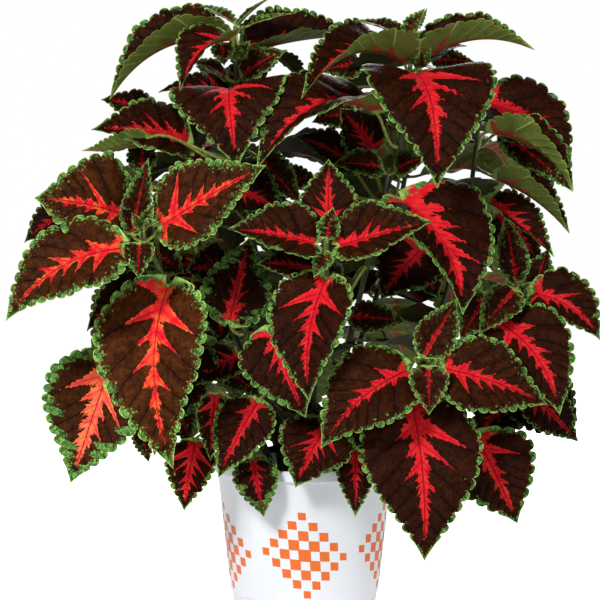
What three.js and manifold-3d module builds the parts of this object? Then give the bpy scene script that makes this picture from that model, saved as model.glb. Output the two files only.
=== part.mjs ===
// A potted coleus: a tapered nursery pot, its soil, branching stems and leaves on stalks.
// Millimetres, +Z up. The origin is the centre of the pot's underside, and -Y is the front.

import * as THREE from 'three';
import { mergeVertices } from 'three/addons/utils/BufferGeometryUtils.js';
import Module from 'manifold-3d';

// Driving dimensions -------------------------------------------------------------------------

const POT_HEIGHT = 143;
const POT_WALL = 1.2;
const POT_TAPER = 0.11; // outward run of the wall per millimetre of height
const POT_LEDGE_Z = 12; // where the wall steps in to the foot
const POT_LEDGE_RADIUS = 74.3; // outer radius of the wall just above that step
const POT_LEDGE_STEP = 1.0;
const POT_FOOT_RADIUS = 72; // outer radius of the foot just above its rounded corner
const POT_FOOT_ROUND = 3;
const POT_FLOOR_CORNER = 2; // width of the sloped corner between the floor and the wall, inside
const POT_EDGE_EASE = 1; // how much the edges of the band and the step are eased
const POT_BAND_HEIGHT = 11; // the thicker band below the rim
const POT_BAND_RADIUS = 91; // outer radius of that band: the widest place on the pot
const POT_SEGMENTS = 48;

const DRAIN_HOLES = 6;
const DRAIN_HOLE_RADIUS = 5;
const DRAIN_HOLE_CIRCLE = 54;

const SOIL_TOP = 127;
const SOIL_EDGE_WIDTH = 4; // the rounded-off edge where the soil meets the wall
const SOIL_EDGE_DROP = 2;
const SEAT_GAP = 0.3; // clearance between pieces that rest on one another
const WELD_DISTANCE = 1e-4; // corners closer than this are one corner

const STEM_BASE_RADIUS = 4.4;
const STEM_TIP_RADIUS = 2.3;
const BRANCH_BASE_RADIUS = 3;
const STEM_STEPS = 10;
const HEIGHT_HALVINGS = 30; // steps of the search for a height on a shoot

const STALK_RADIUS = 1.5;
const STALK_TO_BLADE = 1 / 16; // a small leaf's stalk radius as a share of its blade's width
const STALK_REACH = 1 / 3; // how far a stalk keeps its direction at each end, as a share of its length
const BLADE_THICKNESS = 1.4; // at the midrib; the margin is sharp
const OUTLINE_SHOULDER = 0.5; // how round the base of a blade is
const OUTLINE_TAPER = 1.2; // how drawn out its tip is

const RING_POSITIONS = [0.02, 0.12, 0.3, 0.55, 0.8]; // along a blade
const YOUNG_RING_POSITIONS = [0.03, 0.3, 0.7];
const STALK_POSITIONS = [0, 0.5, 1]; // along a stalk
const SECTION = [-1, -0.5, 0, 0.5, 1]; // across a blade; with its lower face, one ring of RING_POINTS
const RING_POINTS = 2 * SECTION.length - 2;

// Centre lines of the shoots, from the lowest point up. A branch starts inside its parent.
const SHOOTS = {
  top_left: [[-12, 8, 103], [-12, 8, 132], [-28, 6, 230], [-52, -2, 370], [-66, -14, 490], [-68, -25, 572]],
  low_middle: [[-22, 6.5, 185], [-36, -30, 225], [-52, -56, 262], [-60, -66, 282]],
  top_right: [[14, 8, 103], [14, 8, 132], [38, 6, 230], [70, -5, 370], [98, -22, 480], [105, -30, 560]],
  middle: [[61, -1, 330], [74, -18, 385], [82, -32, 434]],
  centre: [[-2, -30, 103], [-2, -30, 132], [8, -52, 210], [16, -88, 286], [20, -118, 332], [19, -134, 365]],
  left: [[-32, -8, 103], [-32, -8, 132], [-62, -25, 200], [-108, -58, 280], [-133, -82, 326], [-154, -106, 372]],
  low_left: [[-80, -38, 232], [-120, -56, 236], [-160, -66, 240]],
  front_right: [[24, -26, 103], [24, -26, 132], [46, -62, 176], [82, -116, 215], [108, -148, 250]],
  right: [[36, 4, 103], [36, 4, 132], [80, -5, 190], [150, -25, 255], [195, -42, 298], [209, -50, 316]],
  upper_right: [[112, -13, 220], [140, 10, 300], [164, 8, 400], [174, -5, 490]],
  low_right: [[98, -9, 207], [136, -56, 216], [164, -84, 228]],
  back_left: [[-24, 32, 103], [-24, 32, 132], [-55, 70, 220], [-100, 112, 320], [-130, 138, 415]],
  back_right: [[22, 34, 103], [22, 34, 132], [50, 75, 230], [88, 118, 335], [110, 142, 435]],
};

// Shoots that grew together are one solid, with the young leaves that they carry.
const STEMS = {
  stem_top_left: ['top_left', 'low_middle'],
  stem_top_right: ['top_right', 'middle'],
  stem_centre: ['centre'],
  stem_left: ['left', 'low_left'],
  stem_front_right: ['front_right'],
  stem_right: ['right', 'upper_right', 'low_right'],
  stem_back_left: ['back_left'],
  stem_back_right: ['back_right'],
};

// Leaves, each a node. Columns: name, shoot, height on the shoot where the stalk leaves it,
// base of the blade, tip of the blade, the way the upper face looks, width, how far the midrib
// bows out of the straight line from base to tip, how far each half is folded up (degrees) and,
// where it is not 0, how far the midrib swings to the left of that line in the plane of the leaf.
const LEAVES = [
  ['leaf_top_left_west', 'top_left', 560, [-80, -15, 563], [-191, -31, 500], [-0.15, -0.36, 1], 80, 20, 46],
  ['leaf_top_left_front', 'top_left', 546, [-73, -49, 558], [-118, -90, 505], [-0.5, -0.75, 0.5], 60, 14, 34],
  ['leaf_top_left_east', 'top_left', 554, [-57, -15, 548], [57, 16, 566], [0.05, -0.55, 0.8], 72, 6, 46],
  ['leaf_top_left_hanging', 'top_left', 508, [-72, -46, 510], [-63, -116, 430], [-0.1, -0.75, 0.6], 112, 28, 12],
  ['leaf_top_left_north', 'top_left', 500, [-70, 15, 515], [-76, 118, 455], [0, 0.65, 0.75], 92, 16, 18],
  ['leaf_upper_left', 'top_left', 440, [-116, -24, 458], [-206, -56, 470], [-0.1, -0.72, 0.7], 84, 8, 18],
  ['leaf_middle_left_up', 'low_middle', 274, [-72, -72, 287], [-53, -62, 367], [0, -0.95, -0.1], 68, 3, 8],
  ['leaf_middle_front', 'low_middle', 266, [-31, -104, 280], [1, -128, 199], [-0.25, -0.9, 0.35], 78, 9, 14],
  ['leaf_middle_left_low', 'low_middle', 240, [-64, -62, 250], [-113, -78, 222], [0, -0.75, 0.6], 44, 8, 14],
  ['leaf_lower_middle', 'low_middle', 222, [-45, -88, 209], [-82, -112, 140], [-0.1, -0.9, 0.35], 58, 8, 12],
  ['leaf_top_right_west', 'top_right', 524, [96, -38, 536], [-4, -130, 495], [-0.15, -0.4, 1], 80, 26, 40],
  ['leaf_top_right_east', 'top_right', 524, [117, -34, 541], [223, -42, 548], [0.1, -0.28, 1], 70, 15, 44],
  ['leaf_top_right_hanging', 'top_right', 512, [106, -52, 524], [122, -132, 412], [0.1, -0.65, 0.75], 132, 34, 18],
  ['leaf_top_right_north', 'top_right', 496, [110, 8, 508], [120, 110, 445], [0, 0.65, 0.75], 94, 16, 18],
  ['leaf_top_middle', 'top_right', 456, [65, -60, 489], [-46, -124, 428], [-0.3, -0.6, 0.75], 98, 34, 26],
  ['leaf_middle_big', 'middle', 398, [94, -78, 402], [145, -146, 296], [0.5, -0.8, 0.4], 118, 14, 26, -8],
  ['leaf_centre_up', 'centre', 358, [22, -122, 376], [22, -104, 441], [0, -0.95, 0.2], 56, 3, 10],
  ['leaf_centre_left', 'centre', 352, [9, -132, 362], [-71, -152, 376], [-0.1, -0.78, 0.62], 70, 3, 28],
  ['leaf_centre_right', 'centre', 352, [32, -134, 360], [116, -160, 383], [0.1, -0.85, 0.55], 68, 2, 28],
  ['leaf_centre_front', 'centre', 328, [19, -140, 329], [4, -176, 219], [-0.35, -0.9, 0.25], 84, 10, 20, 5],
  ['leaf_lower_right_rim', 'centre', 182, [48, -98, 165], [48, -105, 102], [0, -1, 0.2], 36, 5, 8],
  ['leaf_lower_centre', 'centre', 196, [22, -90, 186], [-9, -112, 131], [-0.2, -0.9, 0.4], 76, 9, 12],
  ['leaf_left_west', 'left', 356, [-169, -96, 388], [-252, -120, 404], [-0.1, -0.9, 0.42], 108, 8, 10],
  ['leaf_left_east', 'left', 364, [-134, -116, 378], [-35, -152, 434], [0.1, -0.85, 0.5], 86, 4, 14],
  ['leaf_left_front', 'left', 350, [-169, -140, 358], [-272, -167, 292], [-0.1, -0.78, 0.62], 88, 12, 12, 10],
  ['leaf_left_hanging', 'left', 322, [-130, -97, 320], [-121, -150, 154], [-0.2, -0.92, 0.3], 114, 14, 22, 12],
  ['leaf_left_back', 'left', 314, [-143, -62, 316], [-210, -72, 276], [-0.3, -0.7, 0.6], 60, 12, 16],
  ['leaf_lower_left', 'low_left', 240, [-185, -74, 250], [-222, -106, 134], [-0.2, -0.93, 0.3], 112, 8, 12, -3],
  ['leaf_lower_left_inner', 'left', 206, [-86, -84, 216], [-90, -98, 154], [0, -0.95, 0.2], 32, 5, 10],
  ['leaf_left_rim', 'left', 176, [-105, -80, 170], [-115, -98, 106], [-0.1, -0.95, 0.25], 50, 7, 10],
  ['leaf_front_rim', 'left', 160, [-50, -88, 155], [-39, -101, 101], [0, -1, 0.25], 44, 6, 10],
  ['leaf_right_front_west', 'front_right', 238, [94, -152, 246], [14, -176, 177], [-0.1, -0.85, 0.5], 84, 10, 14, 6],
  ['leaf_right_front_east', 'front_right', 238, [128, -154, 248], [222, -158, 215], [0.05, -0.85, 0.5], 80, 8, 14],
  ['leaf_right_front_hanging', 'front_right', 216, [99, -142, 213], [108, -182, 75], [0, -0.95, 0.3], 112, 12, 8, -4],
  ['leaf_lower_right', 'low_right', 218, [161, -112, 178], [198, -136, 101], [0.1, -0.95, 0.3], 88, 8, 8],
  ['leaf_right_hanging', 'right', 276, [184, -92, 286], [236, -140, 203], [0.1, -0.85, 0.5], 86, 12, 14, -8],
  ['leaf_right_east', 'right', 306, [222, -52, 312], [283, -78, 268], [0.2, -0.78, 0.6], 72, 8, 16, -6],
  ['leaf_upper_right', 'upper_right', 482, [180, -2, 498], [262, -22, 431], [0.1, -0.7, 0.7], 98, 12, 12, -8],
  ['leaf_upper_right_low', 'upper_right', 452, [182, -56, 468], [255, -88, 411], [0.3, -0.15, 1], 74, 12, 40],
  ['leaf_upper_right_front', 'upper_right', 396, [180, -42, 400], [239, -75, 348], [0.3, -0.7, 0.7], 54, 3, 36],
  ['leaf_back_left_west', 'back_left', 405, [-155, 135, 412], [-255, 130, 385], [-0.3, 0.3, 1], 84, 16, 18],
  ['leaf_back_left_north', 'back_left', 394, [-126, 160, 398], [-112, 262, 325], [0, 0.75, 0.65], 98, 18, 12],
  ['leaf_back_left_east', 'back_left', 405, [-108, 142, 416], [-26, 176, 452], [0, 0.5, 0.85], 72, 12, 18],
  ['leaf_back_left_low', 'back_left', 320, [-140, 118, 320], [-232, 155, 228], [-0.5, 0.6, 0.6], 104, 18, 12],
  ['leaf_back_right_east', 'back_right', 425, [133, 142, 432], [235, 140, 410], [0.3, 0.35, 1], 84, 16, 18],
  ['leaf_back_right_north', 'back_right', 414, [108, 168, 412], [104, 268, 335], [0, 0.8, 0.6], 100, 18, 12],
  ['leaf_back_right_low', 'back_right', 335, [122, 122, 335], [215, 160, 240], [0.5, 0.6, 0.6], 104, 18, 12],
  ['leaf_back_middle', 'back_left', 214, [-10, 120, 236], [5, 225, 150], [0, 0.8, 0.6], 108, 18, 12],
  ['leaf_back_lower_left', 'back_left', 196, [-95, 96, 206], [-165, 160, 122], [-0.5, 0.6, 0.6], 90, 14, 12],
  ['leaf_back_lower_right', 'back_right', 196, [92, 100, 204], [165, 165, 118], [0.5, 0.6, 0.6], 92, 14, 12],
];

// Leaves that are one solid with their shoot: the young ones at its tip, and those inside and
// behind the plant. The columns are those of LEAVES without the name.
const JOINED_LEAVES = [
  ['top_left', 568, [-66, -24, 574], [-33, -12, 602], [-0.7, -0.3, 0.6], 20, 2, 15],
  ['top_left', 564, [-63, -26, 570], [-12, -20, 585], [-0.3, -0.5, 0.8], 18, 2, 20],
  ['top_left', 566, [-70, -18, 577], [-111, 14, 596], [-0.2, -0.2, 1], 20, 4, 15],
  ['top_left', 518, [-77, -30, 522], [-111, -44, 536], [-0.1, -0.6, 0.7], 28, 4, 12],
  ['top_left', 520, [-60, -32, 524], [-17, -42, 547], [0.1, -0.7, 0.6], 40, 4, 12],
  ['top_right', 556, [107, -29, 568], [120, -28, 590], [0.6, -0.6, 0.2], 8, 1, 10],
  ['top_right', 552, [99, -24, 560], [47, 0, 580], [-0.1, -0.3, 1], 34, 4, 20],
  ['top_right', 530, [112, -18, 534], [162, 8, 556], [0.2, -0.3, 1], 36, 6, 20],
  ['middle', 428, [74, -36, 434], [26, -50, 436], [-0.1, -0.75, 0.6], 38, 4, 12],
  ['middle', 428, [90, -36, 432], [120, -44, 443], [0.1, -0.75, 0.6], 32, 4, 12],
  ['centre', 362, [20, -136, 368], [26, -142, 396], [0, -0.9, 0.3], 22, 1, 12],
  ['centre', 350, [21, -138, 354], [8, -150, 331], [0, -0.8, 0.5], 20, 2, 12],
  ['left', 366, [-162, -108, 372], [-147, -101, 442], [0, -0.95, 0.1], 34, 4, 34],
  ['left', 358, [-153, -136, 361], [-152, -153, 330], [0, -0.9, 0.4], 32, 4, 24],
  ['front_right', 248, [110, -150, 260], [140, -138, 312], [0.1, -0.95, 0.2], 42, 2, 22],
  ['front_right', 246, [112, -164, 249], [112, -180, 208], [0, -0.9, 0.4], 38, 4, 20],
  ['right', 312, [207, -42, 324], [197, -26, 388], [-0.1, -0.95, 0.2], 32, 2, 12],
  ['right', 312, [199, -88, 316], [163, -112, 276], [-0.1, -0.85, 0.5], 38, 4, 12],
  ['low_right', 226, [196, -84, 219], [260, -98, 174], [0.1, -0.9, 0.4], 52, 6, 12],
  ['back_left', 410, [-126, 142, 424], [-150, 160, 462], [0, 0.6, 0.6], 34, 4, 12],
  ['back_left', 410, [-132, 144, 420], [-160, 175, 408], [-0.2, 0.6, 0.7], 34, 4, 12],
  ['back_right', 430, [112, 146, 444], [138, 165, 480], [0, 0.6, 0.6], 34, 4, 12],
  ['back_right', 430, [108, 148, 440], [80, 170, 432], [0, 0.6, 0.7], 34, 4, 12],
  ['top_left', 540, [-64, 12, 548], [-42, 84, 520], [0, 0.6, 0.8], 58, 12, 16],
  ['top_left', 446, [-34, 24, 452], [44, 62, 424], [0, 0.3, 1], 84, 12, 16],
  ['top_left', 392, [-62, 36, 402], [-78, 116, 344], [0, 0.65, 0.75], 84, 14, 14],
  ['top_left', 372, [-90, 14, 378], [-186, 34, 336], [-0.3, 0.1, 1], 84, 14, 16],
  ['top_left', 318, [-14, 30, 326], [44, 88, 286], [0.2, 0.5, 0.85], 78, 12, 14],
  ['top_left', 300, [-72, 18, 304], [-160, 20, 262], [-0.3, 0, 1], 80, 14, 14],
  ['top_right', 540, [96, 8, 552], [62, 84, 530], [0, 0.6, 0.8], 56, 12, 16],
  ['top_right', 430, [80, 28, 436], [52, 112, 392], [0, 0.6, 0.8], 84, 14, 14],
  ['top_right', 380, [94, 26, 384], [134, 80, 352], [0.2, 0.4, 0.85], 66, 12, 14],
  ['top_right', 262, [84, 32, 258], [150, 76, 216], [0.3, 0.4, 0.85], 62, 12, 14],
  ['upper_right', 452, [180, 34, 458], [222, 112, 410], [0.3, 0.6, 0.75], 88, 16, 14],
  ['upper_right', 366, [166, 34, 370], [202, 100, 322], [0.3, 0.6, 0.75], 66, 12, 12],
  ['upper_right', 326, [176, 26, 326], [232, 62, 276], [0.3, 0.3, 0.9], 76, 14, 14],
  ['left', 236, [-104, -8, 238], [-176, 36, 190], [-0.4, 0.3, 0.85], 84, 14, 12],
  ['right', 240, [146, 14, 236], [214, 56, 182], [0.4, 0.3, 0.85], 88, 14, 12],
  ['back_left', 380, [-98, 118, 388], [-32, 146, 358], [0.1, 0, 1], 70, 12, 16],
  ['back_left', 330, [-82, 132, 336], [-30, 194, 284], [0.2, 0.6, 0.75], 84, 14, 12],
  ['back_left', 268, [-104, 84, 268], [-192, 84, 214], [-0.5, 0.2, 0.85], 84, 14, 14],
  ['back_left', 260, [-62, 108, 262], [-66, 202, 196], [0, 0.7, 0.7], 96, 16, 12],
  ['back_right', 360, [72, 104, 360], [4, 82, 332], [-0.1, 0.1, 1], 76, 12, 16],
  ['back_right', 350, [80, 140, 354], [22, 198, 300], [-0.1, 0.6, 0.75], 84, 14, 12],
  ['back_right', 268, [84, 116, 268], [118, 206, 206], [0.1, 0.7, 0.7], 88, 16, 12],
];

// Materials ----------------------------------------------------------------------------------

function finish(color, roughness) {
  return new THREE.MeshStandardMaterial({ color, roughness, metalness: 0 });
}

const potFinish = () => finish('#E9EEF5', 0.45);
const soilFinish = () => finish('#33251B', 0.95);
const stemFinish = () => finish('#6F7A35', 0.6);
const leafFinish = () => finish('#6B1A18', 0.55);

// Geometry helpers ---------------------------------------------------------------------------

const wasm = await Module();
wasm.setup();

function toSolid(geometry) {
  const bare = geometry.clone();
  bare.deleteAttribute('normal');
  bare.deleteAttribute('uv');
  const merged = mergeVertices(bare, WELD_DISTANCE);
  return new wasm.Manifold(new wasm.Mesh({
    numProp: 3,
    vertProperties: new Float32Array(merged.attributes.position.array),
    triVerts: new Uint32Array(merged.index.array),
  }));
}

function fromSolid(solid) {
  const mesh = solid.getMesh();
  const geometry = new THREE.BufferGeometry();
  geometry.setAttribute('position', new THREE.BufferAttribute(mesh.vertProperties, 3));
  geometry.setIndex(new THREE.BufferAttribute(mesh.triVerts, 1));
  geometry.computeVertexNormals();
  return geometry;
}

function point(values) {
  return new THREE.Vector3(...values);
}

// Part of a vector that is square to a unit direction, at unit length.
function squareTo(vector, direction) {
  return vector.clone().addScaledVector(direction, -vector.dot(direction)).normalize();
}

// A closed skin over rings of points, each ring with the same count. A ring may be one point
// at either end; otherwise the end is closed with a flat cap.
function loft(rings) {
  const positions = [];
  const faces = [];
  const starts = rings.map((ring) => {
    const start = positions.length / 3;
    ring.forEach((p) => positions.push(p.x, p.y, p.z));
    return start;
  });
  const size = Math.max(...rings.map((ring) => ring.length));
  for (let i = 0; i + 1 < rings.length; i += 1) {
    for (let j = 0; j < size; j += 1) {
      const next = (j + 1) % size;
      const a = starts[i] + (rings[i].length === 1 ? 0 : j);
      const b = starts[i] + (rings[i].length === 1 ? 0 : next);
      const c = starts[i + 1] + (rings[i + 1].length === 1 ? 0 : j);
      const d = starts[i + 1] + (rings[i + 1].length === 1 ? 0 : next);
      if (a !== b) faces.push(a, b, d);
      if (c !== d) faces.push(a, d, c);
    }
  }
  for (let j = 1; j + 1 < rings[0].length; j += 1) {
    faces.push(starts[0], starts[0] + j + 1, starts[0] + j);
  }
  const last = starts[rings.length - 1];
  for (let j = 1; j + 1 < rings[rings.length - 1].length; j += 1) {
    faces.push(last, last + j, last + j + 1);
  }
  const geometry = new THREE.BufferGeometry();
  geometry.setAttribute('position', new THREE.Float32BufferAttribute(positions, 3));
  geometry.setIndex(faces);
  geometry.computeVertexNormals();
  return geometry;
}

// Pot and soil -------------------------------------------------------------------------------

function wallRadius(z) {
  return POT_LEDGE_RADIUS + POT_TAPER * (z - POT_LEDGE_Z);
}

function lathe(profile) {
  const points = profile.map(([radius, z]) => new THREE.Vector2(radius, z));
  return new THREE.LatheGeometry(points, POT_SEGMENTS).rotateX(Math.PI / 2);
}

function makePot() {
  const bandZ = POT_HEIGHT - POT_BAND_HEIGHT;
  const corner = POT_FOOT_ROUND * (1 - Math.SQRT1_2);
  const innerFloor = POT_FOOT_RADIUS - POT_WALL;
  const profile = [
    [0, 0],
    [POT_FOOT_RADIUS - POT_FOOT_ROUND, 0],
    [POT_FOOT_RADIUS - corner, corner],
    [POT_FOOT_RADIUS, POT_FOOT_ROUND],
    [wallRadius(POT_LEDGE_Z) - POT_LEDGE_STEP, POT_LEDGE_Z - POT_EDGE_EASE],
    [wallRadius(POT_LEDGE_Z), POT_LEDGE_Z],
    [wallRadius(bandZ), bandZ],
    [POT_BAND_RADIUS, bandZ + POT_EDGE_EASE],
    [POT_BAND_RADIUS, POT_HEIGHT - POT_EDGE_EASE],
    [POT_BAND_RADIUS - POT_EDGE_EASE, POT_HEIGHT],
    [wallRadius(POT_HEIGHT) - POT_WALL, POT_HEIGHT],
    [wallRadius(POT_LEDGE_Z) - POT_WALL - POT_LEDGE_STEP, POT_LEDGE_Z],
    [innerFloor, POT_FOOT_ROUND],
    [innerFloor - POT_FLOOR_CORNER, POT_WALL],
    [0, POT_WALL],
  ];
  let pot = toSolid(lathe(profile));
  for (let i = 0; i < DRAIN_HOLES; i += 1) {
    const angle = (2 * Math.PI * i) / DRAIN_HOLES;
    const x = DRAIN_HOLE_CIRCLE * Math.cos(angle);
    const y = DRAIN_HOLE_CIRCLE * Math.sin(angle);
    const drill = new THREE.CylinderGeometry(DRAIN_HOLE_RADIUS, DRAIN_HOLE_RADIUS, 3 * POT_WALL, 16);
    drill.rotateX(Math.PI / 2);
    drill.translate(x, y, POT_WALL / 2);
    pot = pot.subtract(toSolid(drill));
  }
  return fromSolid(pot);
}

function makeSoil() {
  const inner = (z) => wallRadius(z) - POT_WALL - SEAT_GAP;
  const floor = POT_WALL + SEAT_GAP;
  const profile = [
    [0, floor],
    [POT_FOOT_RADIUS - POT_WALL - POT_FLOOR_CORNER - 2 * SEAT_GAP, floor],
    [POT_FOOT_RADIUS - POT_WALL - 1.5 * SEAT_GAP, POT_FOOT_ROUND + SEAT_GAP],
    [inner(POT_LEDGE_Z) - POT_LEDGE_STEP - SEAT_GAP, POT_LEDGE_Z + POT_EDGE_EASE],
    [inner(SOIL_TOP - SOIL_EDGE_DROP), SOIL_TOP - SOIL_EDGE_DROP],
    [inner(SOIL_TOP) - SOIL_EDGE_WIDTH, SOIL_TOP],
    [0, SOIL_TOP],
  ];
  let soil = toSolid(lathe(profile));
  for (const shoots of Object.values(STEMS)) {
    const path = SHOOTS[shoots[0]].map(point);
    path[0].z -= SEAT_GAP;
    const socket = makeShoot(path, STEM_BASE_RADIUS + SEAT_GAP, STEM_TIP_RADIUS + SEAT_GAP);
    soil = soil.subtract(toSolid(socket));
  }
  return fromSolid(soil);
}

// Stems --------------------------------------------------------------------------------------

function makeShoot(path, baseRadius, tipRadius) {
  const curve = new THREE.CatmullRomCurve3(path);
  let across = new THREE.Vector3(0, 1, 0);
  const rings = [];
  for (let i = 0; i <= STEM_STEPS; i += 1) {
    const t = i / STEM_STEPS;
    const centre = curve.getPoint(t);
    const along = curve.getTangent(t);
    across = squareTo(across, along);
    const beside = new THREE.Vector3().crossVectors(along, across);
    const radius = THREE.MathUtils.lerp(baseRadius, tipRadius, t);
    rings.push(roundRing(centre, across, beside, radius));
  }
  return loft(rings);
}

// Points round a centre, turning from `across` towards `beside`.
function roundRing(centre, across, beside, radius) {
  const ring = [];
  for (let i = 0; i < RING_POINTS; i += 1) {
    const angle = (2 * Math.PI * i) / RING_POINTS;
    const p = centre.clone();
    p.addScaledVector(across, radius * Math.cos(angle));
    p.addScaledVector(beside, radius * Math.sin(angle));
    ring.push(p);
  }
  return ring;
}

function shootRadii(shoot) {
  const isBranch = SHOOTS[shoot][0][2] > SOIL_TOP;
  return [isBranch ? BRANCH_BASE_RADIUS : STEM_BASE_RADIUS, STEM_TIP_RADIUS];
}

// The place on a shoot's centre line at a given height.
function placeOnShoot(shoot, height) {
  const curve = new THREE.CatmullRomCurve3(SHOOTS[shoot].map(point));
  let low = 0;
  let high = 1;
  for (let i = 0; i < HEIGHT_HALVINGS; i += 1) {
    const middle = (low + high) / 2;
    if (curve.getPoint(middle).z < height) low = middle;
    else high = middle;
  }
  const radius = THREE.MathUtils.lerp(...shootRadii(shoot), low);
  return { centre: curve.getPoint(low), along: curve.getTangent(low), radius };
}

// Leaves -------------------------------------------------------------------------------------

function outline(u) {
  const widest = OUTLINE_SHOULDER / (OUTLINE_SHOULDER + OUTLINE_TAPER);
  const shape = (x) => x ** OUTLINE_SHOULDER * (1 - x) ** OUTLINE_TAPER;
  return shape(u) / shape(widest);
}

// Midrib point, direction and upper-face normal at u = 0 (base) to 1 (tip).
function midrib(base, tip, face, arch, swing, u) {
  const chord = new THREE.Vector3().subVectors(tip, base);
  const bow = squareTo(face, chord.clone().normalize());
  const aside = new THREE.Vector3().crossVectors(chord, bow).normalize();
  const offset = bow.multiplyScalar(arch).addScaledVector(aside, swing);
  const centre = base.clone().addScaledVector(chord, u).addScaledVector(offset, 4 * u * (1 - u));
  const along = chord.clone().addScaledVector(offset, 4 * (1 - 2 * u)).normalize();
  return { centre, along, normal: squareTo(face, along) };
}

// A section across the blade: the upper face from one margin to the other, then the lower face.
function bladeRing(rib, halfWidth, fold) {
  const side = new THREE.Vector3().crossVectors(rib.along, rib.normal);
  const lift = Math.sin(fold);
  const spread = Math.cos(fold);
  const at = (v, face) => {
    const p = rib.centre.clone().addScaledVector(side, v * halfWidth * spread);
    const raised = Math.abs(v) * halfWidth * lift + (face * BLADE_THICKNESS * (1 - v * v)) / 2;
    return p.addScaledVector(rib.normal, raised);
  };
  const upper = SECTION.map((v) => at(v, 1));
  const lower = SECTION.slice(1, -1).reverse().map((v) => at(v, -1));
  return [...upper, ...lower];
}

// A section of the stalk, with its points in the order of a blade section.
function stalkRing(centre, along, normal, radius) {
  const side = new THREE.Vector3().crossVectors(along, normal);
  return roundRing(centre, side.negate(), normal, radius);
}

// Stalk rings from the stem to the blade. The stalk of a young leaf starts inside the stem.
function stalkRings(shoot, height, rib, radius, isJoined) {
  const stem = placeOnShoot(shoot, height);
  const outward = squareTo(new THREE.Vector3().subVectors(rib.centre, stem.centre), stem.along);
  const start = stem.centre.clone();
  if (!isJoined) start.addScaledVector(outward, stem.radius + SEAT_GAP);
  const reach = start.distanceTo(rib.centre) * STALK_REACH;
  const curve = new THREE.CubicBezierCurve3(
    start,
    start.clone().addScaledVector(outward, reach),
    rib.centre.clone().addScaledVector(rib.along, -reach),
    rib.centre,
  );
  let normal = rib.normal;
  const rings = [];
  for (const t of [...STALK_POSITIONS].reverse()) {
    const along = curve.getTangent(t);
    normal = squareTo(normal, along);
    rings.unshift(stalkRing(curve.getPoint(t), along, normal, radius));
  }
  return rings;
}

function makeLeaf([shoot, height, base, tip, face, width, arch, foldDegrees, swing = 0], isJoined) {
  const place = (u) => midrib(point(base), point(tip), point(face), arch, swing, u);
  const fold = THREE.MathUtils.degToRad(foldDegrees);
  const radius = Math.min(STALK_RADIUS, width * STALK_TO_BLADE);
  const rings = stalkRings(shoot, height, place(0), radius, isJoined);
  for (const u of isJoined ? YOUNG_RING_POSITIONS : RING_POSITIONS) {
    rings.push(bladeRing(place(u), (width / 2) * outline(u), fold));
  }
  rings.push([place(1).centre]);
  return loft(rings);
}

function makeStem(shoots) {
  let stem = null;
  for (const shoot of shoots) {
    const solid = toSolid(makeShoot(SHOOTS[shoot].map(point), ...shootRadii(shoot)));
    stem = stem ? stem.add(solid) : solid;
    for (const leaf of JOINED_LEAVES.filter((row) => row[0] === shoot)) {
      stem = stem.add(toSolid(makeLeaf(leaf, true)));
    }
  }
  return fromSolid(stem);
}

// Assembly -----------------------------------------------------------------------------------

const coleus = new THREE.Group();

function addPiece(name, geometry, material) {
  const mesh = new THREE.Mesh(geometry, material);
  mesh.name = name;
  coleus.add(mesh);
}

addPiece('pot', makePot(), potFinish());
addPiece('soil', makeSoil(), soilFinish());
for (const [name, shoots] of Object.entries(STEMS)) {
  addPiece(name, makeStem(shoots), stemFinish());
}
for (const [name, ...leaf] of LEAVES) {
  addPiece(name, makeLeaf(leaf, false), leafFinish());
}

export default coleus;
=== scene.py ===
"""A potted coleus: the pot, its print, the soil, the shoots and the leaves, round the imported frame.

Metres, +Z up. The tables give the places in millimetres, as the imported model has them.
"""

import math
from collections import namedtuple

import bpy
import numpy as np
from bpy.props import FloatProperty, FloatVectorProperty, IntProperty, PointerProperty
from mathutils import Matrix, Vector
from mathutils.kdtree import KDTree


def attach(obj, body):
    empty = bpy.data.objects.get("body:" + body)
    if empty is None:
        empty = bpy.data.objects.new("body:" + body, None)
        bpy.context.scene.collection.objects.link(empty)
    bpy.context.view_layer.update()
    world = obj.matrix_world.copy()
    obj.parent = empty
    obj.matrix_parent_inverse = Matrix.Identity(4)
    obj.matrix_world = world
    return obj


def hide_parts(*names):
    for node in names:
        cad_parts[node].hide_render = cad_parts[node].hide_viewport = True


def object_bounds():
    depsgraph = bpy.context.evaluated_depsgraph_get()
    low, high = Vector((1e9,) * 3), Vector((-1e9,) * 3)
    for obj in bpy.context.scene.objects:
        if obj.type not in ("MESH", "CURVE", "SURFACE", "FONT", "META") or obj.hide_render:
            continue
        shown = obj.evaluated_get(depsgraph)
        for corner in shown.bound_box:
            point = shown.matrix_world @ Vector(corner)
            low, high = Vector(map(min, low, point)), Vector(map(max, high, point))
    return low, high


bl_info = {
    "name": "Potted Coleus",
    "version": (1, 0, 0),
    "blender": (4, 5, 0),
    "location": "View3D > Sidebar > Coleus",
    "description": "Builds a coleus in a nursery pot around its packed frame",
    "category": "Add Mesh",
}

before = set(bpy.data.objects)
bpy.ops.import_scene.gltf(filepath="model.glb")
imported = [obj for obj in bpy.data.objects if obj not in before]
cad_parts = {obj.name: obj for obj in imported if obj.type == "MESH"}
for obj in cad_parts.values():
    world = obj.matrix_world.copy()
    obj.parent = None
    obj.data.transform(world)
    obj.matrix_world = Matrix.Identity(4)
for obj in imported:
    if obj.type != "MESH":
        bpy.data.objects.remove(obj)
CAD_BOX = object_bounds()
BODY = "root"
MM = 0.001

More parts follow.
